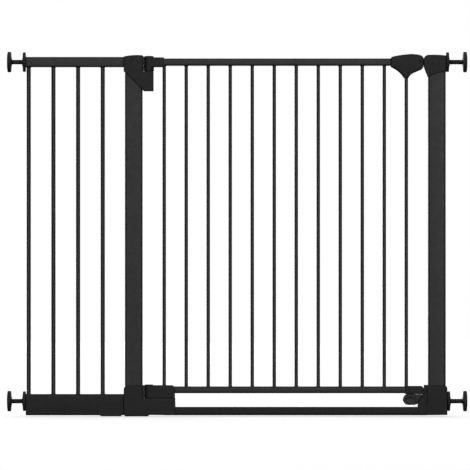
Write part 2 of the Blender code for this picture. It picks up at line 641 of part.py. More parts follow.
def latch_cavities():
    """The spaces inside both shells: rail, last bar, bolt with its spring, button and its slot."""
    end = LATCH_RAIL_END_X + GAP
    bar_x = FIRST_DOOR_BAR_X + (DOOR_BAR_COUNT - 1) * DOOR_BAR_PITCH
    bolt_half = LATCH_BOLT_WIDTH / 2 + GAP
    low, high = LATCH_BOLT_Z
    left, right = BUTTON_X[0] - LATCH_TRAVEL - RUNNING_CLEAR / 2, BUTTON_X[1] + RUNNING_CLEAR / 2
    slot_half = BUTTON_HALF_WIDTH + GAP
    return [
        rail_pocket(0.3000, end, DOOR_TOP_RAIL_Z),
        rod("bar_channel", (bar_x, 0, 0.6900), (bar_x, 0, 0.7300), DOOR_BAR_RADIUS + GAP, BAR_SIDES),
        box("bolt_room", (end + 0.0018, -bolt_half - 0.0020, low - GAP), (0.3836, bolt_half + 0.0020, 0.7362)),
        box("leg_room", (end + 0.0020, -0.0060, 0.7300), (0.3795, 0.0060, 0.7453)),
        box("nose_door", (0.3800, -bolt_half, low - GAP), (0.4000, bolt_half, high + GAP)),
        box("slider_channel", (0.3460, -0.0046, 0.7396), (0.3700, 0.0046, 0.7462)),
        box("button_slot", (left, -slot_half, BUTTON_Z[0] - RUNNING_CLEAR / 2), (right, slot_half, 0.7600)),
    ]


def latch_housing():
    """The shield in two shells that meet in the middle plane, screwed together from the rear."""
    half = MOULDING_DEPTH / 2
    whole = soften(prism("shield", [latch_outline()], "Y", -half, half), LATCH_CROWN, 3, 60)
    for cavity in latch_cavities():
        cut(whole, cavity)
    apply_modifiers(whole)
    latch_shell("latch_housing_front", whole, -0.05, -GAP / 2)
    rear = latch_shell("latch_housing_rear", whole, GAP / 2, 0.05)
    recess, recess_radius = half - SCREW_HEAD_DEPTH, SCREW_HEAD_RADIUS + GAP
    for x, z in LATCH_SCREWS.values():
        cut(rear, rod("head_recess", (x, recess, z), (x, half + 0.0100, z), recess_radius, BAR_SIDES))
    bpy.data.objects.remove(whole)
    for which, (x, z) in LATCH_SCREWS.items():
        head_low = recess + GAP
        screw = rod(f"latch_screw_{which}", (x, -0.0085, z), (x, head_low + 0.001, z), SCREW_RADIUS, BAR_SIDES)
        head_high = head_low + 0.0022
        join(screw, rod("screw_head", (x, head_low, z), (x, head_high, z), SCREW_HEAD_RADIUS, BAR_SIDES))


def latch_shell(name, whole, low_y, high_y):
    """One side of the shield, with the holes of the two screws that end inside the front shell."""
    shell = add_mesh_object(name, whole.data.copy())
    shell.matrix_world = whole.matrix_world
    keep_common(shell, box("half_space", (0.2900, low_y, 0.6800), (0.4100, high_y, 0.7700)))
    for x, z in LATCH_SCREWS.values():
        cut(shell, rod("screw_hole", (x, -0.0090, z), (x, 0.0500, z), SCREW_RADIUS + GAP, BAR_SIDES))
    return shell


def latch_slider():
    """The bolt, the button that draws it back, and the spring that pushes it out."""
    low_x, high_x = LATCH_BOLT_X
    low, high = LATCH_BOLT_Z
    half, taper = LATCH_BOLT_WIDTH / 2, 0.0040
    leg_low, leg_high = LEG_X
    nose = [(low_x, -half), (high_x - taper, -half), (high_x, -0.0028), (high_x, 0.0028),
            (high_x - taper, half), (low_x, half)]  # fmt: skip
    bolt = prism("latch_bolt", [nose], "Z", low, high)
    cut(bolt, box("leg_slot", (leg_low - GAP, -0.0023, low + 0.0030), (leg_high + GAP, 0.0023, high + 0.01)))
    width = BUTTON_HALF_WIDTH
    pad = rectangle((BUTTON_X[0], -width), (BUTTON_X[1], width), 0.0012)
    button = prism("release_button", [pad], "Z", *BUTTON_Z)
    join(button, box("slider_bridge", (BUTTON_X[0] + 0.0010, -0.0040, 0.7412), (leg_high, 0.0040, 0.7452)))
    join(button, box("slider_leg", (leg_low, -0.0020, low + 0.0030 + GAP), (leg_high, 0.0020, 0.7430)))
    coil("latch_spring", (0.3580, 0, (low + high) / 2), (1, 0, 0), 0.0030, 0.0007, 0.0126, 5)


# ---------------------------------------------------------------- bottom lock


def bottom_lock():
    """A sleeve on the bottom rail's end, and the thumb slide whose tongue enters the right bracket."""
    half = DOOR_RAIL_DEPTH / 2 + SLEEVE_CLEAR
    rail_low, rail_high = DOOR_BOTTOM_RAIL_Z
    corner = 0.0062
    side = (
        [(0.3478, rail_low - 0.0006), (LOCK_END_X - 0.0006, rail_low - 0.0006)]
        + arc((LOCK_END_X - corner, rail_high + 0.0010 - corner), corner, 0, 90)
        + [(0.3478, rail_high + 0.0010)]
    )
    sleeve = prism("bottom_lock_housing", [side], "Y", -half, half)
    guide = rectangle((GUIDE_X[0], LOCK_Z[1] - GUIDE_DEPTH), (GUIDE_X[1], rail_low + 0.0020))
    join(sleeve, prism("slide_guide", [guide], "Y", -GUIDE_HALF_DEPTH, GUIDE_HALF_DEPTH))
    cut(sleeve, rail_pocket(0.3400, DOOR_BOTTOM_RAIL_X[1] + GAP, DOOR_BOTTOM_RAIL_Z))
    bar_x = FIRST_DOOR_BAR_X + (DOOR_BAR_COUNT - 1) * DOOR_BAR_PITCH
    cut(sleeve, rod("bar_hole", (bar_x, 0, 0.0550), (bar_x, 0, 0.0800), DOOR_BAR_RADIUS + GAP, BAR_SIDES))
    lock_slide()


def lock_slide():
    """A pill whose right end follows the bracket's slope, with a finger dish on each face."""
    low, high = LOCK_Z
    radius, middle = (high - low) / 2, (low + high) / 2
    outline = arc((SLIDE_LEFT_X + radius, middle), radius, 90, 270, 10) + [
        (0.3738, low), (0.3762, 0.0330), (0.3839, 0.0450), (0.3839, high),
    ]  # fmt: skip
    slide = prism("bottom_lock_slide", [outline], "Y", -SLIDE_HALF_DEPTH, SLIDE_HALF_DEPTH)
    soften(slide, SMALL_EDGE)
    slot_end = GUIDE_X[1] + LOCK_TRAVEL + RUNNING_CLEAR
    slot_half = GUIDE_HALF_DEPTH + GAP
    slot_low = (GUIDE_X[0] - RUNNING_CLEAR, -slot_half, high - GUIDE_DEPTH - GAP)
    cut(slide, box("guide_slot", slot_low, (slot_end, slot_half, high + 0.0100)))
    dish_corner = (DISH_Z[1] - DISH_Z[0]) / 2 - 0.0001
    dish = rectangle((DISH_X[0], DISH_Z[0]), (DISH_X[1], DISH_Z[1]), dish_corner)
    cut(slide, prism("front_dish", [dish], "Y", -SLIDE_HALF_DEPTH - 0.0100, -DISH_FLOOR))
    cut(slide, prism("rear_dish", [dish], "Y", DISH_FLOOR, SLIDE_HALF_DEPTH + 0.0100))
    step_x, step_z = slot_end + 0.0004, high - GUIDE_DEPTH - 0.0010
    tongue = [
        (TONGUE_X[0], TONGUE_Z[0]), (TONGUE_X[1], TONGUE_Z[0]), (TONGUE_X[1], TONGUE_Z[1]),
        (step_x, TONGUE_Z[1]), (step_x, step_z), (TONGUE_X[0], step_z),
    ]  # fmt: skip
    join(slide, prism("tongue", [tongue], "Y", -GUIDE_HALF_DEPTH, GUIDE_HALF_DEPTH))


# ---------------------------------------------------------------- pressure mounts


def wheel_profile():
    """(radius, distance from the frame): a thick rim, and a web that swells towards the hub."""
    rim, hub, edge = 0.0056, 0.0074, 0.0008
    return [
        (BORE_RADIUS, hub), (0.0080, hub), (0.0092, hub - 0.0006), (WHEEL_RADIUS - edge, rim),
        (WHEEL_RADIUS, rim - edge), (WHEEL_RADIUS, edge), (WHEEL_RADIUS - edge, 0.0), (BORE_RADIUS, 0.0),
    ]  # fmt: skip


def cup_profile():
    """(radius, distance from the wall): a disc as thick as a lens, with a socket for the spindle's end."""
    fall, rim, hub, edge = 0.0014, 0.0078, 0.0098, 0.0009
    return [
        (0.0, CUP_FLOOR), (BORE_RADIUS, CUP_FLOOR), (BORE_RADIUS, hub), (0.0080, hub), (0.0092, hub - 0.0006),
        (CUP_RADIUS - edge, rim), (CUP_RADIUS, rim - edge), (CUP_RADIUS, fall + edge),
        (CUP_RADIUS - edge, fall), (0.0120, 0.0), (0.0, 0.0),
    ]  # fmt: skip


def pressure_mount(where, side):
    """One wall cup, its spindle, its wheel and its guide. Side is -1 at the left and 1 at the right."""
    height = SPINDLE_Z[where]
    label = f"{where}_{'left' if side < 0 else 'right'}"
    inner_end = LEFT_SPINDLE_END_X if side < 0 else RIGHT_SPINDLE_END_X
    outwards, inwards = (side, 0, 0), (-side, 0, 0)
    wheel_place = (WHEEL_SEAT_X[label] + side * GAP, 0, height)
    turned(f"adjusting_wheel_{label}", wheel_profile(), wheel_place, outwards)
    turned(f"wall_cup_{label}", cup_profile(), (side * WALL_X, 0, height), inwards, on_axis=True)
    outer_end = side * (WALL_X - CUP_FLOOR - GAP)
    rod(f"spindle_{label}", (inner_end, 0, height), (outer_end, 0, height), SPINDLE_RADIUS, SPINDLE_SIDES)
    if side < 0:
        rail_plug(f"rail_plug_{label}", where)
    else:
        post_bush(f"post_bush_{label}", height)


def rail_plug(name, where):
    """The guide in an extension rail's open end."""
    sections = {
        "top": (EXTENSION_TOP_DEPTH, EXTENSION_TOP_RAIL_Z),
        "bottom": (EXTENSION_BOTTOM_DEPTH, EXTENSION_BOTTOM_RAIL_Z),
    }
    depth, (low, high) = sections[where]
    clear = POST_WALL + GAP
    outline = rectangle((clear - depth / 2, low + clear), (depth / 2 - clear, high - clear))
    bore = circle((0, SPINDLE_Z[where]), BORE_RADIUS)
    prism(name, [outline, bore], "X", EXTENSION_END_X, EXTENSION_END_X + PLUG_LENGTH)


def post_bush(name, height):
    """The flanged guide in the right post's outer wall."""
    outer_face = RIGHT_POST_X + POST_WIDTH / 2
    seat = -POST_WALL - GAP
    end = seat - FLANGE_LENGTH
    profile = [
        (BORE_RADIUS, 0.0), (BUSH_RADIUS, 0.0), (BUSH_RADIUS, seat), (FLANGE_RADIUS, seat),
        (FLANGE_RADIUS, end), (BORE_RADIUS, end),
    ]  # fmt: skip
    turned(name, profile, (outer_face, 0, height), (1, 0, 0), SPINDLE_SIDES)


# ---------------------------------------------------------------- assembly

FINISHES = {
    "closing_spring": SPRING_STEEL, "latch_spring": SPRING_STEEL, "latch_screw": ZINC, "hinge_pin": ZINC,
    "latch_bolt": ZINC, "closer_bush": NYLON, "post_bush": NYLON, "rail_plug": NYLON, "spindle": STEEL,
    "post_": STEEL, "rail": STEEL, "bar_": STEEL,
}  # fmt: skip


def finish_of(name):
    """The first finish whose word is in the name, and moulded plastic for the rest."""
    return next((finish for word, finish in FINISHES.items() if word in name), PLASTIC)


def pivot(name, place, pieces):
    """An empty on a joint's axis that carries the pieces that the joint moves."""
    empty = bpy.data.objects.new(name, None)
    PARTS.objects.link(empty)
    empty.location = place
    bpy.context.view_layer.update()
    for piece in pieces:
        piece.parent = empty
        piece.matrix_parent_inverse = empty.matrix_world.inverted()


def named(*words):
    """The parts whose names start with one of the words."""
    return [piece for piece in PARTS.objects if piece.name.startswith(words)]


clear_scene()
PARTS = new_collection("safety_baby_gate")
CUTTERS = new_collection("cutters")

frame_pieces()
extension_pieces()
door_pieces()
closer()
latch_housing()
latch_slider()
bottom_lock()
for place in SPINDLE_Z:
    for gate_side in (-1, 1):
        pressure_mount(place, gate_side)

for part in PARTS.objects:
    paint(part, finish_of(part.name))
    if part.type == "MESH":
        smooth(part)
door_words = ("door_", "upper_", "lower_", "latch_", "release_", "bottom_lock")
pivot("door_pivot", (HINGE_X, 0, KNUCKLE_LOW_Z[0]), named(*door_words))
pivot("closer_pivot", (HINGE_X, 0, 0.0), named("closer_bush"))
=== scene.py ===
"""Looks of a pressure-fit safety gate: powder-coated steel and spark-textured plastic mouldings.

Metres, +Z up, the gate's front facing -Y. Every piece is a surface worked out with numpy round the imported
CAD frame: a stack of closed rings, a profile turned about a line, or an outline with rounded rims and crowned
faces.
"""

import json
import logging
import math
from collections.abc import Sequence
from dataclasses import dataclass
from enum import Enum
from typing import Any

import bpy
import numpy as np
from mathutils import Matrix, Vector


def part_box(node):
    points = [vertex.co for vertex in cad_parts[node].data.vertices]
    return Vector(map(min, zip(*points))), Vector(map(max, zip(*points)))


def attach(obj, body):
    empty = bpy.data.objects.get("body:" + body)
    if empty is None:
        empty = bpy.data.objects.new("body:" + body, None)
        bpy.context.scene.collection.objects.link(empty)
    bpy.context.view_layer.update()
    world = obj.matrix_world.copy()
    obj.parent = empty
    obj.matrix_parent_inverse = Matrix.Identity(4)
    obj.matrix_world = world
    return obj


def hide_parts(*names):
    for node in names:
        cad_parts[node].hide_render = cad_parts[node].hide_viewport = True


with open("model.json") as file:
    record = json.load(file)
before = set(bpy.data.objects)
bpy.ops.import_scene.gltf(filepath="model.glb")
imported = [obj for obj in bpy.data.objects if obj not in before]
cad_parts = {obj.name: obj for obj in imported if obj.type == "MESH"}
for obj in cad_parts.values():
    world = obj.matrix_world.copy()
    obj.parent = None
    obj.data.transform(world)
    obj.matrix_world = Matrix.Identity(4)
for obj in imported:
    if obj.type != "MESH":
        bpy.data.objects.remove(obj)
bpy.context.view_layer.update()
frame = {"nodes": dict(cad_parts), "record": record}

Array = np.ndarray
Solid = bpy.types.Object
LOG = logging.getLogger("safety_gate")
MM = 0.001
PIN_BORE = 4.3 * MM
NEAR_AXIS = 0.05 * MM
BODIES = frame["record"]["behaviour"]["bodies"]
BODY_OF = {node: body for body, nodes in BODIES.items() for node in nodes}


class Axis(Enum):
    """Where an outline's u and v and its depth w go in the world, as the order of the three columns."""

    X = (2, 0, 1)
    Y = (0, 2, 1)
    Z = (0, 1, 2)


class Side(Enum):
    """The two ends of the gate, as the sign of X."""

    LEFT = -1
    RIGHT = 1


# ---------------------------------------------------------------- finishes


def linear(hex_colour: str, alpha: float = 1.0) -> tuple[float, float, float, float]:
    """Turns an sRGB hex colour into linear light.

    Args:
        hex_colour: six hex digits, with or without a hash.
        alpha: the fourth number.

    Returns:
        Red, green, blue and alpha.
    """
    digits = hex_colour.lstrip("#")
    srgb = np.array([int(digits[i : i + 2], 16) for i in (0, 2, 4)]) / 255
    light = np.where(srgb <= 0.04045, srgb / 12.92, ((srgb + 0.055) / 1.055) ** 2.4)
    return (float(light[0]), float(light[1]), float(light[2]), alpha)


def add_node(
    tree: bpy.types.NodeTree, kind: str, inputs: dict[str | int, Any] | None = None, **settings: Any
) -> Any:
    """Adds one node with its settings, its values and its links.

    Args:
        tree: the node tree that it goes in.
        kind: the node's type.
        inputs: by socket name or number, a value or the output socket to link.
        **settings: the node's own properties.

    Returns:
        The new node.
    """
    node = tree.nodes.new(kind)
    for key, value in settings.items():
        setattr(node, key, value)
    for socket, value in (inputs or {}).items():
        if isinstance(value, bpy.types.NodeSocket):
            tree.links.new(value, node.inputs[socket])
        else:
            node.inputs[socket].default_value = value
    return node


@dataclass(frozen=True)
class Finish:
    """A real material with two colours that drift into each other and two sizes of surface relief.

    Sizes are in millimetres of the real surface. The coarse relief is drawn a little larger than life where
    the real one would vanish at arm's length.
    """

    name: str
    slot: str
    colour: str
    drift: str
    roughness: float
    spread: float
    coarse_mm: float
    coarse_depth_mm: float
    fine_mm: float
    fine_depth_mm: float
    drift_mm: float = 90.0
    metallic: float = 0.0
    ior: float = 1.5
    specular: float = 0.5

    def material(self) -> bpy.types.Material:
        """The finish as a node material, made once."""
        made = bpy.data.materials.get(self.name)
        if made is not None:
            return made
        made = bpy.data.materials.new(self.name)
        made.use_nodes = True
        tree = made.node_tree
        tree.nodes.clear()
        place = add_node(tree, "ShaderNodeTexCoord").outputs["Object"]
        shader = add_node(tree, "ShaderNodeBsdfPrincipled", {"Metallic": self.metallic})
        if self.metallic < 1.0:
            shader.inputs["IOR"].default_value = self.ior
            shader.inputs["Specular IOR Level"].default_value = self.specular
        self.tint(tree, place, shader)
        self.relief(tree, place, shader)
        add_node(tree, "ShaderNodeOutputMaterial", {"Surface": shader.outputs["BSDF"]})
        return made

    def noise(self, tree: bpy.types.NodeTree, place: Any, size_mm: float, detail: float) -> Any:
        """A noise whose cells are size_mm across; returns its value socket."""
        values = {"Vector": place, "Scale": 1.0 / (size_mm * MM), "Detail": detail, "Roughness": 0.55}
        return add_node(tree, "ShaderNodeTexNoise", values).outputs["Fac"]

    def tint(self, tree: bpy.types.NodeTree, place: Any, shader: Any) -> None:
        """Drifts the colour and the gloss slowly over the surface, as a real batch of paint or resin does."""
        slow = self.noise(tree, place, self.drift_mm, 3.0)
        spots = self.noise(tree, place, self.coarse_mm * 2.0, 2.0)
        share = add_node(tree, "ShaderNodeMapRange", {"Value": slow, "From Min": 0.35, "From Max": 0.65})
        mixed = add_node(
            tree,
            "ShaderNodeMix",
            {"Factor": share.outputs["Result"], 6: linear(self.colour), 7: linear(self.drift)},
            data_type="RGBA",
        )
        tree.links.new(mixed.outputs[2], shader.inputs["Base Color"])
        low, high = self.roughness - self.spread, self.roughness + self.spread
        values = {"Value": spots, "From Min": 0.3, "From Max": 0.7, "To Min": low, "To Max": high}
        gloss = add_node(tree, "ShaderNodeMapRange", values)
        tree.links.new(gloss.outputs["Result"], shader.inputs["Roughness"])

    def relief(self, tree: bpy.types.NodeTree, place: Any, shader: Any) -> None:
        """Raises the surface by the coarse relief with the fine one on it."""
        normal = None
        for size, depth in ((self.coarse_mm, self.coarse_depth_mm), (self.fine_mm, self.fine_depth_mm)):
            values = {"Height": self.noise(tree, place, size, 2.0), "Distance": depth * MM, "Strength": 1.0}
            if normal is not None:
                values["Normal"] = normal
            normal = add_node(tree, "ShaderNodeBump", values).outputs["Normal"]
        tree.links.new(normal, shader.inputs["Normal"])


# Polyester powder, sprayed dry and baked: it flows into a faint orange peel of 3 to 5 mm waves, and its fine
# grain breaks the highlight, which gives the steel a soft satin grey.
POWDER_COAT = Finish(
    "powder_coat_polyester", "powder_coated_steel", "#222223", "#252526",
    roughness=0.46, spread=0.05, coarse_mm=4.0, coarse_depth_mm=0.018, fine_mm=0.9, fine_depth_mm=0.003,
    specular=0.42,
)  # fmt: skip
# A darker and duller copy of the same powder, on the rails that lie near the floor, so that they read as dark
# as the mouldings beside them.
POWDER_COAT_DARK_MATT = Finish(
    "powder_coat_matt", "powder_coated_steel", "#1c1c1d", "#1f1f20",
    roughness=0.56, spread=0.05, coarse_mm=4.0, coarse_depth_mm=0.016, fine_mm=0.9, fine_depth_mm=0.004,
    specular=0.3,
)  # fmt: skip
# Glass-filled polyamide, injection moulded in a spark-eroded tool: an even pebbled grain that scatters the
# light, so that it reads darker and flatter than the steel.
MOULDED = Finish(
    "moulded_polyamide", "moulded_plastic", "#1b1b1c", "#1f1f20",
    roughness=0.60, spread=0.06, coarse_mm=2.2, coarse_depth_mm=0.018, fine_mm=0.7, fine_depth_mm=0.007,
    drift_mm=60.0, specular=0.35,
)  # fmt: skip
# The same resin, polished in the tool where thumbs go, which leaves a slight shine.
MOULDED_FINE = Finish(
    "moulded_polyamide_fine", "moulded_plastic", "#1d1d1e", "#222223",
    roughness=0.45, spread=0.05, coarse_mm=3.0, coarse_depth_mm=0.012, fine_mm=0.8, fine_depth_mm=0.004,
    drift_mm=60.0, specular=0.4,
)  # fmt: skip
# Thermoplastic rubber, moulded on the cup's face to grip a wall: dull, nearly black, faintly dusty.
RUBBER = Finish(
    "thermoplastic_rubber", "moulded_plastic", "#161616", "#1d1c1c",
    roughness=0.82, spread=0.08, coarse_mm=2.6, coarse_depth_mm=0.040, fine_mm=0.6, fine_depth_mm=0.015,
    drift_mm=25.0,
)  # fmt: skip
# Steel rod, rolled to a thread and passivated black: a dark metal with a thin gleam along each crest.
BLACK_ZINC = Finish(
    "black_zinc_steel", "powder_coated_steel", "#3d3d40", "#4a4a4c",
    roughness=0.40, spread=0.06, coarse_mm=3.0, coarse_depth_mm=0.010, fine_mm=0.5, fine_depth_mm=0.004,
    drift_mm=20.0, metallic=1.0,
)  # fmt: skip
# Steel, turned and electroplated with bright zinc: a cool light metal, faintly spangled.
BRIGHT_ZINC = Finish(
    "bright_zinc_steel", "zinc_plated_steel", "#b4b8bd", "#c3c3bd",
    roughness=0.28, spread=0.07, coarse_mm=1.8, coarse_depth_mm=0.006, fine_mm=0.5, fine_depth_mm=0.002,
    drift_mm=8.0, metallic=1.0,
)  # fmt: skip
# Patented steel wire, cold drawn through dies, which leaves it a darker metal with a fine even scuffing.
SPRING_WIRE = Finish(
    "drawn_spring_wire", "spring_steel", "#8d9094", "#9a9b9c",
    roughness=0.33, spread=0.08, coarse_mm=1.2, coarse_depth_mm=0.006, fine_mm=0.3, fine_depth_mm=0.003,
    drift_mm=6.0, metallic=1.0,
)  # fmt: skip
# Unfilled nylon, moulded for a bearing: waxy and a little lighter than the structural resin.
NYLON = Finish(
    "bearing_nylon", "nylon", "#4a4a49", "#525251",
    roughness=0.46, spread=0.05, coarse_mm=2.0, coarse_depth_mm=0.015, fine_mm=0.5, fine_depth_mm=0.004,
    drift_mm=12.0,
)  # fmt: skip


# ---------------------------------------------------------------- outlines


def circle(radius: float, count: int = 48) -> Array:
    """Points (radius cos t, radius sin t) for even steps of t."""
    turn = np.linspace(0.0, math.tau, count, endpoint=False)
    return radius * np.stack((np.cos(turn), np.sin(turn)), axis=-1)


def rounded_box(half_u: float, half_v: float, corner: float, count: int = 48) -> Array:
    """A rectangle with round corners: a small circle's points, each pushed out to its quadrant's corner."""
    turn = (np.arange(count) + 0.5) * math.tau / count
    ring = np.stack((np.cos(turn), np.sin(turn)), axis=-1)
    return corner * ring + np.sign(ring) * np.array((half_u - corner, half_v - corner))


def bezier(curves: Sequence[Sequence[tuple[float, float]]], steps: int = 24) -> Array:
    """Points on joined cubic curves: the four corners weighted by the Bernstein polynomials of t.

    Args:
        curves: four corner points for each curve, in order round the outline.
        steps: points on each curve, without its last.

    Returns:
        The points, one row each.
    """
    corners = np.asarray(curves, float)
    t = np.linspace(0.0, 1.0, steps, endpoint=False)
    weights = np.stack(((1 - t) ** 3, 3 * t * (1 - t) ** 2, 3 * t * t * (1 - t), t**3), axis=-1)
    return np.einsum("sw,kwc->ksc", weights, corners).reshape(-1, 2)


def straight(*points: tuple[float, float]) -> Array:
    """The corner points of straight sides, as rows."""
    return np.asarray(points, float)


def soft_outline(points: Array, corner: float, count: int = 320) -> Array:
    """An even walk round a closed outline, with its corners eased.

    The outline is read at equal steps of its length, and each coordinate is then averaged twice over a window
    as long as the corner: a straight side stays straight, and a corner turns into a smooth bend.

    Args:
        points: the outline's corners in order.
        corner: the length over which a corner bends.
        count: how many points come back.

    Returns:
        The points, anticlockwise.
    """
    closed = np.vstack((points, points[:1]))
    steps = np.linalg.norm(np.diff(closed, axis=0), axis=1)
    length = np.concatenate(([0.0], np.cumsum(steps)))
    at = np.linspace(0.0, length[-1], count, endpoint=False)
    even = np.stack([np.interp(at, length, closed[:, k]) for k in (0, 1)], axis=-1)
    window = int(round(corner / (length[-1] / count))) | 1
    kernel = np.full(window, 1.0 / window)
    for _ in range(2):
        padded = np.vstack((even[-window:], even, even[:window]))
        even = np.stack([np.convolve(padded[:, k], kernel, "same")[window:-window] for k in (0, 1)], axis=-1)
    ahead = np.roll(even, -1, axis=0)
    area = np.sum(even[:, 0] * ahead[:, 1] - ahead[:, 0] * even[:, 1])
    return even if area > 0 else even[::-1]


def grown(outline: Array, distance: Array | float) -> Array:
    """The outline moved outwards along its own normals, the tangent turned a quarter to the right."""
    tangent = np.roll(outline, -1, axis=0) - np.roll(outline, 1, axis=0)
    normal = np.stack((tangent[:, 1], -tangent[:, 0]), axis=-1)
    normal /= np.linalg.norm(normal, axis=1, keepdims=True)
    return outline + normal * np.asarray(distance)


def rim_room(outline: Array, rim: float) -> Array:
    """How far each point of an outline may move inwards without its neighbours crossing.

    It is the rim, or three quarters of the bend's own radius where that is less. The bend is the turn of the
    tangent over the length walked. The least room within a few points either way is then averaged, so that it
    changes slowly.

    Args:
        outline: an anticlockwise outline.
        rim: the most that a point may move.

    Returns:
        One distance for each point.
    """
    step = np.roll(outline, -1, axis=0) - outline
    heading = np.arctan2(step[:, 1], step[:, 0])
    bend = (heading - np.roll(heading, 1) + math.pi) % math.tau - math.pi
    length = np.linalg.norm(step, axis=1)
    radius = length / np.clip(bend, 1e-6, None)
    room = np.minimum(rim, 0.75 * radius)
    reach = max(2, int(round(rim / length.mean())))
    shifts = range(-reach, reach + 1)
    least = np.stack([np.roll(room, k) for k in shifts]).min(axis=0)
    return np.stack([np.roll(least, k) for k in shifts]).mean(axis=0)


# ---------------------------------------------------------------- surfaces


def solid_from_grid(name: str, rings: Array, hollow: bool = False, sharp: float = 32.0) -> Solid:
    """A closed body through a stack of rings.

    Point (k, j) of the grid is ring k's point j, and each cell is one quad. The first and last ring of a
    solid one are closed by fans to their middles. A hollow one's last ring joins its first.

    Args:
        name: the new object's name.
        rings: shape (rings, points, 3).
        hollow: whether the stack closes on itself.
        sharp: edges that bend by more than this many degrees stay crisp.

    Returns:
        The new object, its faces turned outwards.
    """
    count, around, _ = rings.shape
    points = rings.reshape(-1, 3)
    row = np.arange(count if hollow else count - 1)[:, None]
    column = np.arange(around)[None, :]
    here, above = row * around, ((row + 1) % count) * around
    beside = (column + 1) % around
    quads = np.stack((here + column, here + beside, above + beside, above + column), axis=-1).reshape(-1, 4)
    fans = np.empty((0, 3), int)
    if not hollow:
        middles = np.stack((rings[0].mean(axis=0), rings[-1].mean(axis=0)))
        first, last = np.arange(around), (count - 1) * around + np.arange(around)
        low = np.stack((np.roll(first, -1), first, np.full(around, len(points))), axis=-1)
        high = np.stack((last, np.roll(last, -1), np.full(around, len(points) + 1)), axis=-1)
        points, fans = np.vstack((points, middles)), np.vstack((low, high))
    halves = np.vstack((quads[:, :3], quads[:, (0, 2, 3)], fans))
    a, b, c = (points[halves[:, k]] - points.mean(axis=0) for k in range(3))
    if np.einsum("ij,ij->", a, np.cross(b, c)) < 0:
        quads, fans = quads[:, ::-1], fans[:, ::-1]
    mesh = bpy.data.meshes.new(name)
    mesh.from_pydata(points.tolist(), [], quads.tolist() + fans.tolist())
    mesh.shade_smooth()
    mesh.set_sharp_from_angle(angle=math.radians(sharp))
    piece = bpy.data.objects.new(name, mesh)
    bpy.context.scene.collection.objects.link(piece)
    return piece


def in_world(outlines: Array, depths: Array, axis: Axis, centre: Sequence[float] = (0.0, 0.0, 0.0)) -> Array:
    """Stacks flat outlines at their depths and lays them along a world axis.

    Args:
        outlines: shape (rings, points, 2).
        depths: one depth for each ring, or for each ring and point.
        axis: the direction of the depth.
        centre: added to every point.

    Returns:
        Shape (rings, points, 3).
    """
    deep = np.broadcast_to(np.asarray(depths, float).reshape(len(outlines), -1), outlines.shape[:2])
    local = np.concatenate((outlines, deep[..., None]), axis=-1)
    return local[..., axis.value] + np.asarray(centre, float)


@dataclass(frozen=True)
class Face:
    """One face of a moulding: its rim's plane, how round its rim is, and how far its middle swells."""

    depth: float
    rim: float
    crown: float = 0.0


def both_faces(node: str, rim: float, crown: float) -> tuple[Face, Face]:
    """A moulding's back and front face, whose crowns just reach the sides of its CAD node's box."""
    half = box_of(node)[1][1]
    return Face(half - crown, rim, crown), Face(crown - half, rim, crown)


def moulding(
    name: str, outline: Array, back: Face, front: Face, centre: tuple[float, float], axis: Axis = Axis.Y
) -> Solid:
    """A plate with rounded rims and gently crowned faces.

    Along the rim the outline shrinks by r (1 - cos a) while the depth moves by r sin a, a quarter circle.
    Inside it the shrunk outline closes on the centre by a share s, and the face swells by crown (1 - s^2).

    Args:
        name: the new object's name.
        outline: the outline, which every line from the centre meets once.
        back: the face at the greater depth.
        front: the face at the lesser depth.
        centre: the middle that the faces close on.
        axis: the direction of the depth.

    Returns:
        The new object.
    """
    quarter = np.linspace(0.0, math.pi / 2, 7)
    shares = np.linspace(1.0, 0.06, 12)[1:]
    middle = np.asarray(centre, float)

    def half(face: Face, sign: float) -> tuple[list[Array], list[float]]:
        """The rings from the side to the middle of one face."""
        room = rim_room(outline, face.rim)[:, None]
        rim = [grown(outline, -room * (1 - math.cos(a))) for a in quarter]
        flat = [middle + (rim[-1] - middle) * s for s in shares]
        at_rim = [face.depth + sign * face.rim * (math.sin(a) - 1) for a in quarter]
        at_face = [face.depth + sign * face.crown * (1 - s * s) for s in shares]
        return rim + flat, at_rim + at_face

    back_rings, back_depths = half(back, 1.0)
    front_rings, front_depths = half(front, -1.0)
    outlines = np.stack(back_rings[::-1] + front_rings)
    return solid_from_grid(name, in_world(outlines, np.array(back_depths[::-1] + front_depths), axis))


def tube(
    name: str, outer: Array, inner: Array, low: float, high: float, axis: Axis, centre: Sequence[float]
) -> Solid:
    """A hollow length: the outer outline out and the inner one back, with the sawn ends' edges broken."""
    chamfer = 0.3 * MM
    outlines = np.stack((grown(outer, -chamfer), outer, outer, grown(outer, -chamfer), inner, inner))
    depths = np.array((low, low + chamfer, high - chamfer, high, high, low))
    return solid_from_grid(name, in_world(outlines, depths, axis, centre), hollow=True)


def turned(
    name: str,
    profile: Array,
    centre: Sequence[float],
    axis: Axis,
    sign: float = 1.0,
    bored: bool = False,
    flutes: tuple[int, Array] | None = None,
    count: int = 64,
) -> Solid:
    """A profile turned about an axis: point (k, t) is (r_k cos t, r_k sin t, h_k).

    Args:
        name: the new object's name.
        profile: rows of (radius, height).
        centre: where height 0 lies.
        axis: the axis that it is turned about.
        sign: -1 turns the heights the other way.
        bored: whether the profile is a closed loop round a bore.
        flutes: a number of finger grooves and each profile point's groove depth; the radius drops by
            depth times (1 + cos(number t)) / 2.
        count: steps round the axis.

    Returns:
        The new object.
    """
    turn = np.linspace(0.0, math.tau, count, endpoint=False)
    radius = np.broadcast_to(profile[:, :1], (len(profile), count)).copy()
    if flutes is not None:
        number, depth = flutes
        radius -= depth[:, None] * (0.5 + 0.5 * np.cos(number * turn))[None, :]
    outlines = np.stack((radius * np.cos(turn), radius * np.sin(turn)), axis=-1)
    return solid_from_grid(name, in_world(outlines, sign * profile[:, 1], axis, centre), hollow=bored)


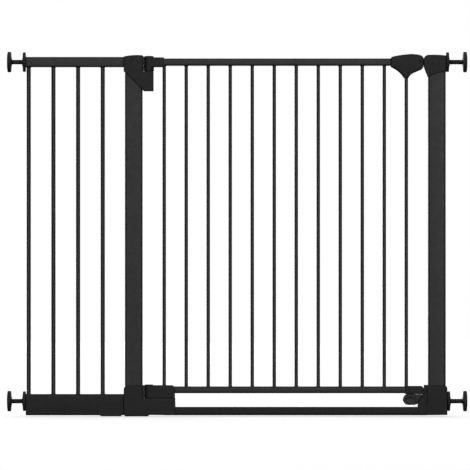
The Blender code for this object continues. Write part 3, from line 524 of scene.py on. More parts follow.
def eased_profile(points: Array, corner: float, count: int) -> Array:
    """An open profile read at even steps, its corners eased by an outline's own average, its ends kept."""
    steps = np.linalg.norm(np.diff(points, axis=0), axis=1)
    length = np.concatenate(([0.0], np.cumsum(steps)))
    at = np.linspace(0.0, length[-1], count)
    even = np.stack([np.interp(at, length, points[:, k]) for k in (0, 1)], axis=-1)
    window = max(1, int(round(corner / (length[-1] / count)))) | 1
    kernel = np.full(window, 1.0 / window)
    edge = window // 2
    padded = np.pad(even, ((edge, edge), (0, 0)), mode="edge")
    eased = np.stack([np.convolve(padded[:, k], kernel, "valid") for k in (0, 1)], axis=-1)
    eased[0], eased[-1] = points[0], points[-1]
    return eased


def block(name: str, low: Sequence[float], high: Sequence[float], corner: float = 0.3 * MM) -> Solid:
    """A box between two corners with round vertical edges and broken rims, along Z."""
    middle = [(a + b) / 2 for a, b in zip(low, high)]
    half = [(b - a) / 2 for a, b in zip(low, high)]
    outline = rounded_box(half[0], half[1], corner, 24)
    outlines = np.stack((grown(outline, -corner / 2), outline, outline, grown(outline, -corner / 2)))
    depths = np.array((-half[2], corner / 2 - half[2], half[2] - corner / 2, half[2]))
    return solid_from_grid(name, in_world(outlines, depths, Axis.Z, middle))


def round_bar(
    name: str, radius: float, low: float, high: float, axis: Axis, centre: Sequence[float]
) -> Solid:
    """A round pin or cutter with broken ends."""
    chamfer = min(0.4 * MM, radius * 0.2)
    inner = radius - chamfer
    profile = np.array(((inner, low), (radius, low + chamfer), (radius, high - chamfer), (inner, high)))
    return turned(name, profile, centre, axis, count=40)


def pin_bore(hinge_x: float, low: float, high: float) -> Solid:
    """The cutter for a hinge pin's bore between two heights."""
    return round_bar("bore", PIN_BORE, low, high, Axis.Z, (hinge_x, 0.0, 0.0))


def carve(piece: Solid, cutters: Sequence[Solid]) -> Solid:
    """Cuts closed shapes out of a piece and keeps what is left as the piece's own mesh.

    Args:
        piece: the body to cut.
        cutters: closed bodies, which are removed afterwards.

    Returns:
        The piece.
    """
    for cutter in cutters:
        modifier = piece.modifiers.new(cutter.name, "BOOLEAN")
        modifier.operation = "DIFFERENCE"
        modifier.solver = "EXACT"
        modifier.object = cutter
    graph = bpy.context.evaluated_depsgraph_get()
    left = bpy.data.meshes.new_from_object(piece.evaluated_get(graph))
    if len(left.polygons) < len(piece.data.polygons) / 2:
        raise ValueError(f"the cuts in {piece.name} left nothing")
    piece.modifiers.clear()
    piece.data = left
    left.shade_smooth()
    left.set_sharp_from_angle(angle=math.radians(30.0))
    for cutter in cutters:
        bpy.data.objects.remove(cutter)
    weighted = piece.modifiers.new("even_shading", "WEIGHTED_NORMAL")
    weighted.keep_sharp = True
    return piece


def settle(piece: Solid, finish: Finish, nodes: Sequence[str] = (), body: str | None = None) -> Solid:
    """Paints a piece, puts it on its body, and hides the CAD nodes that it stands for.

    Args:
        piece: the finished mesh object.
        finish: what it is made of.
        nodes: the CAD nodes that it replaces.
        body: the body that it rides on, where it replaces no node.

    Returns:
        The piece.
    """
    piece.data.materials.clear()
    piece.data.materials.append(finish.material())
    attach(piece, body or BODY_OF[nodes[0]])
    if nodes:
        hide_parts(*nodes)
    LOG.info("%s: %d faces, %s", piece.name, len(piece.data.polygons), finish.name)
    return piece


def box_of(node: str) -> tuple[Array, Array]:
    """A CAD node's lowest and highest corner as arrays."""
    low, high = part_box(node)
    return np.array(low), np.array(high)


def middle_of(node: str) -> Array:
    """The middle of a CAD node's box."""
    low, high = box_of(node)
    return (low + high) / 2


# ---------------------------------------------------------------- steel work


@dataclass(frozen=True)
class SquareTube:
    """A rail or post of rectangular steel tube."""

    name: str
    node: str
    axis: Axis
    corner: float
    wall: float
    finish: Finish = POWDER_COAT

    def build(self) -> None:
        """Lays the section along the node's length."""
        low, high = box_of(self.node)
        across = [self.axis.value.index(k) for k in (0, 1)]
        along = self.axis.value.index(2)
        half = (high - low) / 2
        outer = rounded_box(half[across[0]], half[across[1]], self.corner)
        thin = max(self.corner - self.wall, 0.5 * MM)
        inner = rounded_box(half[across[0]] - self.wall, half[across[1]] - self.wall, thin)
        centre = (low + high) / 2
        centre[along] = 0.0
        piece = tube(self.name, outer, inner, low[along], high[along], self.axis, centre)
        settle(piece, self.finish, [self.node])


@dataclass(frozen=True)
class Bar:
    """A round bar, welded into the rails above and below it."""

    name: str
    node: str
    phase: float
    weld: float = 1.5 * MM
    bead: float = 0.8 * MM
    buried: float = 0.9 * MM

    def build(self) -> None:
        """Turns the bar with a weld fillet at each end.

        With d the distance from the rail, the radius is R plus bead times (1 - d / weld)^2, and the bead
        ripples by a tenth of that three times round.
        """
        low, high = box_of(self.node)
        radius = (high[0] - low[0]) / 2
        distance = np.array((0.0, 0.15, 0.35, 0.6, 0.85, 1.0)) * self.weld
        height = np.concatenate(([-self.buried], distance))
        bead = np.concatenate(([1.0], (1 - distance / self.weld) ** 2)) * self.bead
        heights = np.concatenate((low[2] + height, (high[2] - height)[::-1]))
        swell = np.concatenate((bead, bead[::-1]))
        turn = np.linspace(0.0, math.tau, 32, endpoint=False)
        ripple = 1 + 0.1 * np.sin(3 * turn + self.phase)
        wide = radius + swell[:, None] * ripple[None, :]
        outlines = np.stack((wide * np.cos(turn), wide * np.sin(turn)), axis=-1)
        centre = (low + high) / 2
        centre[2] = 0.0
        rod = solid_from_grid(self.name, in_world(outlines, heights, Axis.Z, centre))
        settle(rod, POWDER_COAT, [self.node])


@dataclass(frozen=True)
class Threshold:
    """The floor bar that joins the posts, with a ribbed tread and a toe line along each side."""

    node: str = "threshold_rail"
    rib_pitch: float = 3.2 * MM
    rib_depth: float = 0.45 * MM
    lip: float = 2.0 * MM
    groove: float = 2.2 * MM
    groove_depth: float = 1.7 * MM

    def build(self) -> None:
        """Carries the section along X.

        The tread's height is the top less the rib depth times (1 - cos(2 pi y / pitch)) / 2, and a groove
        runs along each side above its lip.
        """
        low, high = box_of(self.node)
        half, floor, top = high[1], low[2], high[2]
        y = np.linspace(half - 1.5 * MM, 1.5 * MM - half, 160)
        ribs = self.rib_depth * (0.5 - 0.5 * np.cos(math.tau * y / self.rib_pitch))
        tread = np.stack((y, top - ribs), axis=-1)
        lip, deep, slope = floor + self.lip, half - self.groove_depth, 0.3 * MM
        shoulder = lip + self.groove
        right = straight(
            (half, floor), (half, lip), (deep, lip + slope), (deep, shoulder - slope), (half, shoulder),
            (half, top - 1.2 * MM),
        )  # fmt: skip
        left = right[::-1] * np.array((-1.0, 1.0))
        outer = soft_outline(np.vstack((right, tread, left)), 0.5 * MM, 640)
        side, sole, ceiling = half - 3.4 * MM, floor + 1.5 * MM, top - 2.4 * MM
        hollow = straight((side, sole), (side, ceiling), (-side, ceiling), (-side, sole))
        inner = soft_outline(hollow, 1.0 * MM, 640)
        piece = tube("threshold_bar", outer, inner, low[0], high[0], Axis.X, (0.0, 0.0, 0.0))
        # The floor bar takes the darker and duller copy of the powder.
        settle(piece, POWDER_COAT_DARK_MATT, [self.node])


@dataclass(frozen=True)
class SteelWork:
    """Posts, rails and bars of the frame, the extension panel and the door."""

    post_corner: float = 5.0 * MM
    rail_corner: float = 3.4 * MM

    def build(self) -> None:
        """Builds every steel tube and bar."""
        for side in ("left", "right"):
            SquareTube(f"{side}_post_tube", f"post_{side}", Axis.Z, self.post_corner, 1.5 * MM).build()
        walls = {"extension": 1.5, "door": 1.2}
        rails = {f"{panel}_{place}_rail": walls[panel] for panel in walls for place in ("top", "bottom")}
        for node, wall in rails.items():
            # The extension's bottom rail takes the darker and duller copy of the powder.
            finish = POWDER_COAT_DARK_MATT if node == "extension_bottom_rail" else POWDER_COAT
            SquareTube(f"{node}_tube", node, Axis.X, self.rail_corner, wall * MM, finish).build()
        Threshold().build()
        bars = sorted(node for node in frame["nodes"] if node.startswith(("door_bar", "extension_bar")))
        for i, node in enumerate(bars):
            Bar(f"{node}_rod", node, phase=1.7 * i).build()


# ---------------------------------------------------------------- fittings on the posts


def knuckle_rib(name: str, face_x: float, radius: float, low_z: float, high_z: float) -> None:
    """A set-back rib on a moulding's right face, which closes the gap beside a knuckle.

    Args:
        name: the new object's name.
        face_x: where the moulding's right face is.
        radius: the knuckle's radius.
        low_z: the rib's foot.
        high_z: the rib's top.
    """
    right = middle_of("upper_hinge_pin")[0] - radius - 0.3 * MM
    rib = block(name, (face_x - 1.0 * MM, -4.0 * MM, low_z), (right, 13.8 * MM, high_z), 0.15 * MM)
    settle(rib, MOULDED, body="frame")


@dataclass(frozen=True)
class TopHingeHousing:
    """The left post's cap, in one face with the arm that carries the door's upper pin."""

    node: str = "top_hinge_housing"
    rim: float = 1.8 * MM
    crown: float = 0.25 * MM
    arm_bottom: float = 0.6732

    def build(self) -> None:
        """Builds the cap with its arm, bores it for the pin, and adds the rib beside the knuckle."""
        left, right, arm, arm_top = -234.9, -195.2, -173.2, 713.7
        crown = bezier([[(right, 746.8), (-206.5, 748.6), (-223.0, 747.2), (left, 744.6)]])
        lower = straight(
            (left, 744.6), (left, 713.5), (-232.2, 712.2), (-195.8, 675.8), (-193.2, 673.2), (arm, 673.2),
            (arm, arm_top), (right, arm_top),
        )  # fmt: skip
        outline = soft_outline(np.vstack((crown, lower)) * MM, 1.6 * MM, 400)
        faces = both_faces(self.node, self.rim, self.crown)
        cap = moulding("hinge_cap", outline, *faces, (-0.2000, 0.7050))
        hinge = middle_of("upper_hinge_pin")
        bore = pin_bore(hinge[0], self.arm_bottom + 0.010, 0.7300)
        settle(carve(cap, [bore]), MOULDED, [self.node])
        knuckle_rib("upper_gap_rib", right * MM, 10.6 * MM, 0.7120, 0.7454)


@dataclass(frozen=True)
class StrikeCap:
    """The right post's cap, slotted on its left side for the latch bolt."""

    node: str = "strike_cap"
    rim: float = 1.8 * MM
    crown: float = 0.7 * MM

    def build(self) -> None:
        """Builds the cap, then cuts the bolt's slot and the spindle's bore."""
        left, right = 386.1, 432.4
        curves = bezier([
            [(right, 746.2), (424.0, 748.2), (408.0, 748.6), (395.3, 748.0)],
            [(395.3, 748.0), (388.5, 747.0), (left, 743.0), (left, 733.0)],
            [(left, 733.0), (left, 720.0), (391.5, 713.0), (394.6, 702.5)],
            [(394.6, 702.5), (406.0, 707.5), (416.0, 712.0), (right, 713.0)],
        ])  # fmt: skip
        outline = soft_outline(np.vstack((curves, straight((right, 713.0)))) * MM, 1.4 * MM, 400)
        faces = both_faces(self.node, self.rim, self.crown)
        cap = moulding("strike_cap_shell", outline, *faces, (0.4110, 0.7290))
        bolt_low, bolt_high = box_of("latch_bolt")
        slot = block(
            "slot", (0.3700, bolt_low[1] - 0.8 * MM, bolt_low[2] - 0.6 * MM),
            (bolt_high[0] + 1.2 * MM, bolt_high[1] + 0.8 * MM, bolt_high[2] + 12.8 * MM), 0.8 * MM,
        )  # fmt: skip
        spindle = middle_of("spindle_top_right")
        bore = round_bar("bore", 5.3 * MM, 0.4170, 0.4500, Axis.X, (0.0, 0.0, spindle[2]))
        settle(carve(cap, [slot, bore]), MOULDED, [self.node])


@dataclass(frozen=True)
class BaseBrackets:
    """The posts' feet: the left one carries the door's seat, the right one takes the lock's tongue."""

    rim: float = 1.8 * MM
    crown: float = 0.6 * MM

    def build(self) -> None:
        """Builds both feet."""
        self.build_left()
        self.build_right()

    def foot(self, name: str, node: str, points: Array, corner: float, centre: tuple[float, float]) -> Solid:
        """One foot's crowned plate on its outline, whose points are in millimetres."""
        outline = soft_outline(points * MM, corner, 480)
        return moulding(name, outline, *both_faces(node, self.rim, self.crown), centre)

    def build_left(self) -> None:
        """The left foot, bored for the closer and hollowed for its spring."""
        points = straight(
            (-231.8, 0.0), (-184.6, 0.0), (-182.2, 3.0), (-127.5, 2.3), (-128.3, 37.5),
            (-195.2, 37.5), (-195.2, 65.0), (-229.1, 65.0), (-234.8, 58.3), (-234.8, 3.6),
        )  # fmt: skip
        foot = self.foot("hinge_foot", "base_bracket_left", points, 1.2 * MM, (-0.2030, 0.0180))
        hinge = middle_of("closer_bush")
        bush = round_bar("bush", 7.8 * MM, 0.0200, 0.0500, Axis.Z, (hinge[0], 0.0, 0.0))
        cavity = round_bar("cavity", 11.0 * MM, -0.0100, 0.0315, Axis.Z, (hinge[0], 0.0, 0.0))
        settle(carve(foot, [bush, cavity]), MOULDED, ["base_bracket_left"])
        knuckle_rib("lower_gap_rib", -0.1952, 10.2 * MM, 0.0360, 0.0640)

    def build_right(self) -> None:
        """The right foot, with the tongue's slot, the spindle's bore and a groove down each face."""
        points = straight(
            (374.5, 2.3), (434.8, 3.0), (434.8, 59.5), (431.2, 64.5), (386.8, 64.5),
            (386.8, 47.2), (384.5, 45.0), (376.8, 33.0), (373.8, 21.0),
        )  # fmt: skip
        foot = self.foot("strike_foot", "base_bracket_right", points, 1.4 * MM, (0.4080, 0.0280))
        slot = block("slot", (0.3600, -5.8 * MM, 0.0262), (0.3860, 5.8 * MM, 0.0573), 0.6 * MM)
        spindle = middle_of("spindle_bottom_right")
        bore = round_bar("bore", 7.0 * MM, 0.4250, 0.4500, Axis.X, (0.0, 0.0, spindle[2]))
        half = box_of("base_bracket_right")[1][1]
        grooves = [
            block("groove", (0.3914, y, 0.0230), (0.3944, y + 0.008, 0.0600), 0.6 * MM)
            for y in (3.8 * MM - half - 0.008, half - 3.8 * MM)
        ]
        settle(carve(foot, [slot, bore, *grooves]), MOULDED, ["base_bracket_right"])


@dataclass(frozen=True)
class Coupler:
    """The cradle that joins the extension's bottom rail to the left foot."""

    node: str = "extension_coupler"
    wall: float = 2.7 * MM
    slope_run: float = 5.8 * MM
    slope_rise: float = 6.8 * MM

    def build(self) -> None:
        """Carries a U section along X, with z at least rise (1 - d / run) near each end."""
        low, high = box_of(self.node)
        outer, inner = high[1], high[1] - self.wall
        section = soft_outline(
            straight(
                (-outer, 0.0), (outer, 0.0), (outer, high[2]), (inner, high[2]), (inner, 1.7 * MM),
                (-inner, 1.7 * MM), (-inner, high[2]), (-outer, high[2]),
            ),
            0.9 * MM, 420,
        )  # fmt: skip
        inset = np.array((0.6, 0.25, 0.06, 0.0)) * MM
        near = np.array((0.0, 0.15, 0.4, 0.8)) * MM
        distance = np.concatenate((near, np.linspace(1.5, 5.8, 7) * MM, (12 * MM,)))
        x = np.concatenate((low[0] + distance, high[0] - distance[::-1]))
        shrink = np.concatenate((inset, np.zeros(16), inset[::-1]))
        rings = np.stack([grown(section, -s) for s in shrink])
        reach = np.minimum(x - low[0], high[0] - x)
        lift = np.clip(self.slope_rise * (1 - reach / self.slope_run), 0.0, None)
        rings[..., 1] = np.maximum(rings[..., 1], np.minimum(lift[:, None], high[2]))
        settle(solid_from_grid("rail_cradle", in_world(rings, x, Axis.X)), MOULDED, [self.node])


# ---------------------------------------------------------------- door hinges


@dataclass(frozen=True)
class Knuckles:
    """The door's two hinge mouldings and the pins that they hold."""

    sleeve_half: float = 9.7 * MM
    sleeve_end: float = -0.1516
    drum_radius: float = 10.6 * MM
    shank_half: float = 2.75 * MM
    block_top: float = 0.0640
    block_corner: float = 7.5 * MM

    def build(self) -> None:
        """Builds the upper and lower knuckles and their pins."""
        self.build_upper()
        self.build_lower()
        for which in ("upper", "lower"):
            low, high = box_of(f"{which}_hinge_pin")
            centre = ((low[0] + high[0]) / 2, 0.0, 0.0)
            foot = low[2] if which == "upper" else low[2] + 25.6 * MM
            pin = round_bar(f"{which}_pin", 4.0 * MM, foot, high[2], Axis.Z, centre)
            settle(pin, BRIGHT_ZINC, [f"{which}_hinge_pin"])
        foot, half = box_of("lower_hinge_pin")[0][2], self.shank_half
        shank = block(
            "lower_pin_shank", (centre[0] - half, -half, foot), (centre[0] + half, half, foot + 28.3 * MM),
            0.4 * MM,
        )  # fmt: skip
        settle(shank, BRIGHT_ZINC, body="door")

    def build_upper(self) -> None:
        """A domed drum round the pin, and a sleeve over the rail's end."""
        hinge = middle_of("upper_hinge_pin")
        low, high = box_of("upper_knuckle")
        radius = self.drum_radius
        profile = np.array((
            (NEAR_AXIS, low[2]), (radius - 1.0 * MM, low[2]), (radius, low[2] + 1.0 * MM),
            (radius, high[2] - 2.6 * MM), (radius - 1.6 * MM, high[2] - 0.7 * MM), (NEAR_AXIS, high[2]),
        ))  # fmt: skip
        eased = eased_profile(profile, 1.4 * MM, 70)
        drum = turned("upper_knuckle_drum", eased, (hinge[0], 0.0, 0.0), Axis.Z)
        settle(carve(drum, [pin_bore(hinge[0], 0.7000, 0.7434)]), MOULDED, ["upper_knuckle"])
        section = rounded_box(self.sleeve_half, 10.1 * MM, 2.8 * MM, 64)
        ends = np.array((0.0, 0.1, 0.35, 0.8)) * MM
        x = np.concatenate((hinge[0] + 0.002 + ends, self.sleeve_end - ends[::-1]))
        shrink = np.concatenate(((0.8, 0.4, 0.1, 0.0), (0.0, 0.1, 0.4, 0.8))) * MM
        rings = np.stack([grown(section, -s) for s in shrink])
        sleeve = solid_from_grid("upper_rail_sleeve", in_world(rings, x, Axis.X, (0.0, 0.0, 0.7329)))
        settle(sleeve, MOULDED, body="door")

    def build_lower(self) -> None:
        """A block with a half-round end.

        The plan is a D. At height z its straight end is drawn in to the arc of the top corner, and its rim
        shrinks by the two edge roundings.
        """
        hinge = middle_of("closer_bush")[0]
        low, high = box_of("lower_knuckle")
        radius, right = high[1], high[0]
        plan = soft_outline(
            np.vstack((
                straight((right, -radius), (right, radius)),
                np.array((hinge, 0.0)) + circle(radius, 96)[24:73],
            )),
            1.0 * MM, 240,
        )  # fmt: skip
        edge = np.linspace(0.0, math.pi / 2, 6)
        rim = 1.0 * MM
        top = self.block_top
        z = np.concatenate((low[2] + rim * (1 - np.cos(edge)), np.linspace(top - 7.5 * MM, top, 16)))
        shrink = np.concatenate((rim * (1 - np.sin(edge)), np.zeros(16)))
        past = np.clip(z - (top - rim), 0, rim)
        shrink = np.maximum(shrink, rim - np.sqrt(np.clip(rim**2 - past**2, 0, None)))
        above = np.clip(z - (top - self.block_corner), 0.0, self.block_corner)
        reach = right - self.block_corner + np.sqrt(self.block_corner**2 - above**2)
        rings = np.stack([grown(plan, -s) for s in shrink])
        share = (reach - hinge) / (right - hinge)
        x = rings[..., 0] - hinge
        rings[..., 0] = hinge + np.where(x > 0, x * share[:, None], x)
        knuckle = solid_from_grid("lower_knuckle_block", in_world(rings, z, Axis.Z))
        settle(carve(knuckle, [pin_bore(hinge, 0.0200, 0.0600)]), MOULDED, ["lower_knuckle"])
        boss_radius = radius - 1.2 * MM
        profile = np.array((
            (NEAR_AXIS, low[2] + 0.012), (boss_radius, low[2] + 0.012), (boss_radius, high[2] - 0.4 * MM),
            (boss_radius - 0.5 * MM, high[2]), (NEAR_AXIS, high[2]),
        ))  # fmt: skip
        boss = turned("lower_knuckle_boss", eased_profile(profile, 0.5 * MM, 50), (hinge, 0.0, 0.0), Axis.Z)
        settle(boss, MOULDED, body="door")


def wire_coil(
    name: str, centre: Array, axis: Axis, radius: float, wire: float, low: float, high: float, turns: float
) -> Solid:
    """A helical spring: circles of wire carried along (R cos t, R sin t, h t), their planes across the helix.

    Args:
        name: the new object's name.
        centre: added to every point.
        axis: the direction that the helix climbs in.
        radius: the helix's radius, to the middle of the wire.
        wire: the wire's diameter.
        low: where the spring starts along the axis.
        high: where it ends.
        turns: how many times it goes round.

    Returns:
        The new object.
    """
    steps, around = int(turns * 28), 10
    turn = np.linspace(0.0, math.tau * turns, steps)
    rise = (high - low - wire) / (math.tau * turns)
    outward = np.stack((np.cos(turn), np.sin(turn), np.zeros(steps)), axis=-1)
    flat = np.zeros(steps)
    path = radius * outward + np.stack((flat, flat, low + wire / 2 + rise * turn), axis=-1)
    along = np.stack((-radius * np.sin(turn), radius * np.cos(turn), np.full(steps, rise)), axis=-1)
    along /= np.linalg.norm(along, axis=1, keepdims=True)
    across = np.cross(along, outward)
    ring = circle(wire / 2, around)
    rings = path[:, None] + ring[None, :, :1] * outward[:, None] + ring[None, :, 1:] * across[:, None]
    return solid_from_grid(name, rings[..., axis.value] + centre)


@dataclass(frozen=True)
class Closer:
    """The bush, spring and cover in the left foot that swing the door shut."""

    bush_radius: float = 7.5 * MM
    socket_half: float = 3.05 * MM

    def build(self) -> None:
        """Builds the bush with its square socket, the torsion spring and the cover."""
        low, high = box_of("closer_bush")
        centre = np.array(((low[0] + high[0]) / 2, 0.0, 0.0))
        ring, half = circle(self.bush_radius, 64), self.socket_half
        socket = rounded_box(half, half, 0.3 * MM, 64)
        bush = tube("closer_bush_ring", ring, socket, low[2], high[2], Axis.Z, centre)
        settle(bush, NYLON, ["closer_bush"])
        low, high = box_of("closing_spring")
        spring = wire_coil("closing_spring_wire", centre, Axis.Z, 9.4 * MM, 1.6 * MM, low[2], high[2], 7.0)
        settle(spring, SPRING_WIRE, ["closing_spring"])
        low, high = box_of("closer_cover")
        radius = high[1]
        profile = np.array((
            (NEAR_AXIS, low[2]), (radius - 0.3 * MM, low[2]), (radius, low[2] + 0.3 * MM),
            (radius, high[2]), (NEAR_AXIS, high[2]),
        ))  # fmt: skip
        cover = turned("closer_cover_disc", eased_profile(profile, 0.3 * MM, 40), centre, Axis.Z)
        settle(cover, MOULDED, ["closer_cover"])


# ---------------------------------------------------------------- latch and lock


@dataclass(frozen=True)
class Latch:
    """The shield at the door's top corner, its bolt, its release button and its spring."""

    rim: float = 3.4 * MM
    crown: float = 0.9 * MM
    seam_half: float = 0.15 * MM
    seam_rim: float = 0.35 * MM
    keyhole: tuple[float, float] = (0.3790, 0.7337)

    def outline(self) -> Array:
        """The shield's outline: crowned top, round nose, and a point where the last bar enters."""
        upper = bezier([
            [(385.8, 740.5), (385.0, 748.0), (374.0, 749.3), (360.0, 749.5)],
            [(360.0, 749.5), (347.0, 749.2), (333.0, 747.0), (320.8, 744.2)],
        ])  # fmt: skip
        wing = straight((318.8, 743.0), (318.0, 741.4))
        lower = bezier([
            [(318.0, 723.6), (331.0, 717.5), (339.0, 711.0), (345.5, 700.4)],
            [(345.5, 700.3), (349.0, 699.9), (352.0, 699.9), (354.9, 700.3)],
            [(354.9, 700.4), (358.5, 710.0), (371.0, 713.0), (382.0, 718.0)],
            [(382.0, 718.0), (385.2, 720.0), (386.0, 729.0), (385.8, 740.5)],
        ])  # fmt: skip
        return soft_outline(np.vstack((upper, wing, lower)) * MM, 1.8 * MM, 480)

    def cutters(self) -> list[Solid]:
        """The button's slot, the bolt's doorway, and the small window beside it."""
        low, high = box_of("latch_bolt")
        half = box_of("latch_housing_rear")[1][1]
        x, z = self.keyhole
        gap = 0.3 * MM
        door_low, door_high = (0.3790, low[1] - gap, low[2] - gap), (0.4000, high[1] + gap, high[2] + gap)
        cuts = [
            block("button_slot", (0.3476, -5.3 * MM, 0.7435), (0.3664, 5.3 * MM, 0.7600), 1.2 * MM),
            block("doorway", door_low, door_high),
        ]
        for y in (-half - 0.004, half - 0.006):
            window = (x - 2.2 * MM, y, z - 1.9 * MM), (x + 2.2 * MM, y + 0.010, z + 1.9 * MM)
            cuts.append(block("window", *window, 0.6 * MM))
        return cuts

    def build(self) -> None:
        """Builds the two shells, the screws that hold them, and what moves in them."""
        self.build_shells()
        self.build_screws()
        self.build_bolt()
        self.build_button()
        low, high = box_of("latch_spring")
        centre = middle_of("latch_spring") * np.array((0.0, 1.0, 1.0))
        spring = wire_coil("latch_spring_wire", centre, Axis.X, 3.0 * MM, 0.7 * MM, low[0], high[0], 5.0)
        settle(spring, SPRING_WIRE, ["latch_spring"])

    def build_shells(self) -> None:
        """Two halves that meet in the middle plane with broken edges, which leaves a fine parting line."""
        outline, centre = self.outline(), (0.3520, 0.7300)
        rear, front = both_faces("latch_housing_rear", self.rim, self.crown)
        seam_front, seam_rear = (Face(sign * self.seam_half, self.seam_rim) for sign in (-1.0, 1.0))
        shells = {
            "front": moulding("latch_shell_front", outline, seam_front, front, centre),
            "rear": moulding("latch_shell_rear", outline, rear, seam_rear, centre),
        }
        for which, shell in shells.items():
            cuts = self.cutters()
            if which == "rear":
                cuts += [self.recess(name) for name in ("upper", "lower")]
            settle(carve(shell, cuts), MOULDED, [f"latch_housing_{which}"])

    def recess(self, which: str) -> Solid:
        """The round pocket over one screw head."""
        centre = middle_of(f"latch_screw_{which}") * np.array((1.0, 0.0, 1.0))
        high = box_of(f"latch_screw_{which}")[1][1]
        return round_bar("recess", 3.5 * MM, high - 2.6 * MM, high + 10 * MM, Axis.Y, centre)

    def build_screws(self) -> None:
        """Pan heads with a cross recess, on plain shanks."""
        for which in ("upper", "lower"):
            node = f"latch_screw_{which}"
            low, high = box_of(node)
            centre = middle_of(node) * np.array((1.0, 0.0, 1.0))
            head = high[1]
            profile = np.array((
                (NEAR_AXIS, head), (2.0 * MM, head - 0.1 * MM), (3.1 * MM, head - 0.9 * MM),
                (3.1 * MM, head - 2.3 * MM), (1.8 * MM, head - 2.4 * MM), (1.8 * MM, low[1] + 1.5 * MM),
                (NEAR_AXIS, low[1]),
            ))  # fmt: skip
            eased = eased_profile(profile, 0.35 * MM, 90)
            screw = turned(f"shell_screw_{which}", eased, centre, Axis.Y, count=40)
            x, floor, z = centre[0], head - 1.5 * MM, centre[2]
            arms = [
                block("arm", (x - u, floor, z - v), (x + u, head + 0.002, z + v), 0.1 * MM)
                for u, v in ((1.7 * MM, 0.35 * MM), (0.35 * MM, 1.7 * MM))
            ]
            settle(carve(screw, arms), BRIGHT_ZINC, [node])

    def build_bolt(self) -> None:
        """A flat bolt with a tapered nose, along Z."""
        low, high = box_of("latch_bolt")
        taper, nose = high[0] - 4 * MM, 2.8 * MM
        points = straight(
            (low[0], low[1]), (taper, low[1]), (high[0], -nose), (high[0], nose), (taper, high[1]),
            (low[0], high[1]),
        )  # fmt: skip
        outline = soft_outline(points, 1.0 * MM, 160)
        faces = Face(high[2], 0.6 * MM), Face(low[2], 0.6 * MM)
        centre = ((low[0] + high[0]) / 2, 0.0)
        settle(moulding("bolt_plate", outline, *faces, centre, Axis.Z), BRIGHT_ZINC, ["latch_bolt"])

    def build_button(self) -> None:
        """A thumb pad with a ribbed top, which drops by half a rib depth times 1 - cos(2 pi x / pitch)."""
        high = box_of("release_button")[1]
        x0, x1, depth, pitch = 0.3560, 0.3660, 0.35 * MM, 2.0 * MM
        outline = rounded_box((x1 - x0) / 2, 5.0 * MM, 1.2 * MM, 64) + np.array(((x0 + x1) / 2, 0.0))
        shares = np.linspace(1.0, 0.03, 40)
        middle = np.array(((x0 + x1) / 2, 0.0))
        rim = [grown(outline, -0.5 * MM * (1 - math.cos(a))) for a in np.linspace(0, math.pi / 2, 5)]
        lid = [middle + (rim[-1] - middle) * s for s in shares]
        rings = np.stack([outline, outline, *rim, *lid])
        depths = np.concatenate((
            (0.7400, high[2] - 2.0 * MM),
            high[2] - 0.5 * MM * (1 - np.sin(np.linspace(0, math.pi / 2, 5))),
            np.full(len(shares), high[2]),
        ))  # fmt: skip
        top = depths[:, None] - np.where(
            np.arange(len(depths))[:, None] > 7,
            depth * (0.5 - 0.5 * np.cos(math.tau * (rings[..., 0] - x0) / pitch)),
            0.0,
        )
        pad = solid_from_grid("thumb_button", in_world(rings, top, Axis.Z))
        settle(pad, MOULDED_FINE, ["release_button"])


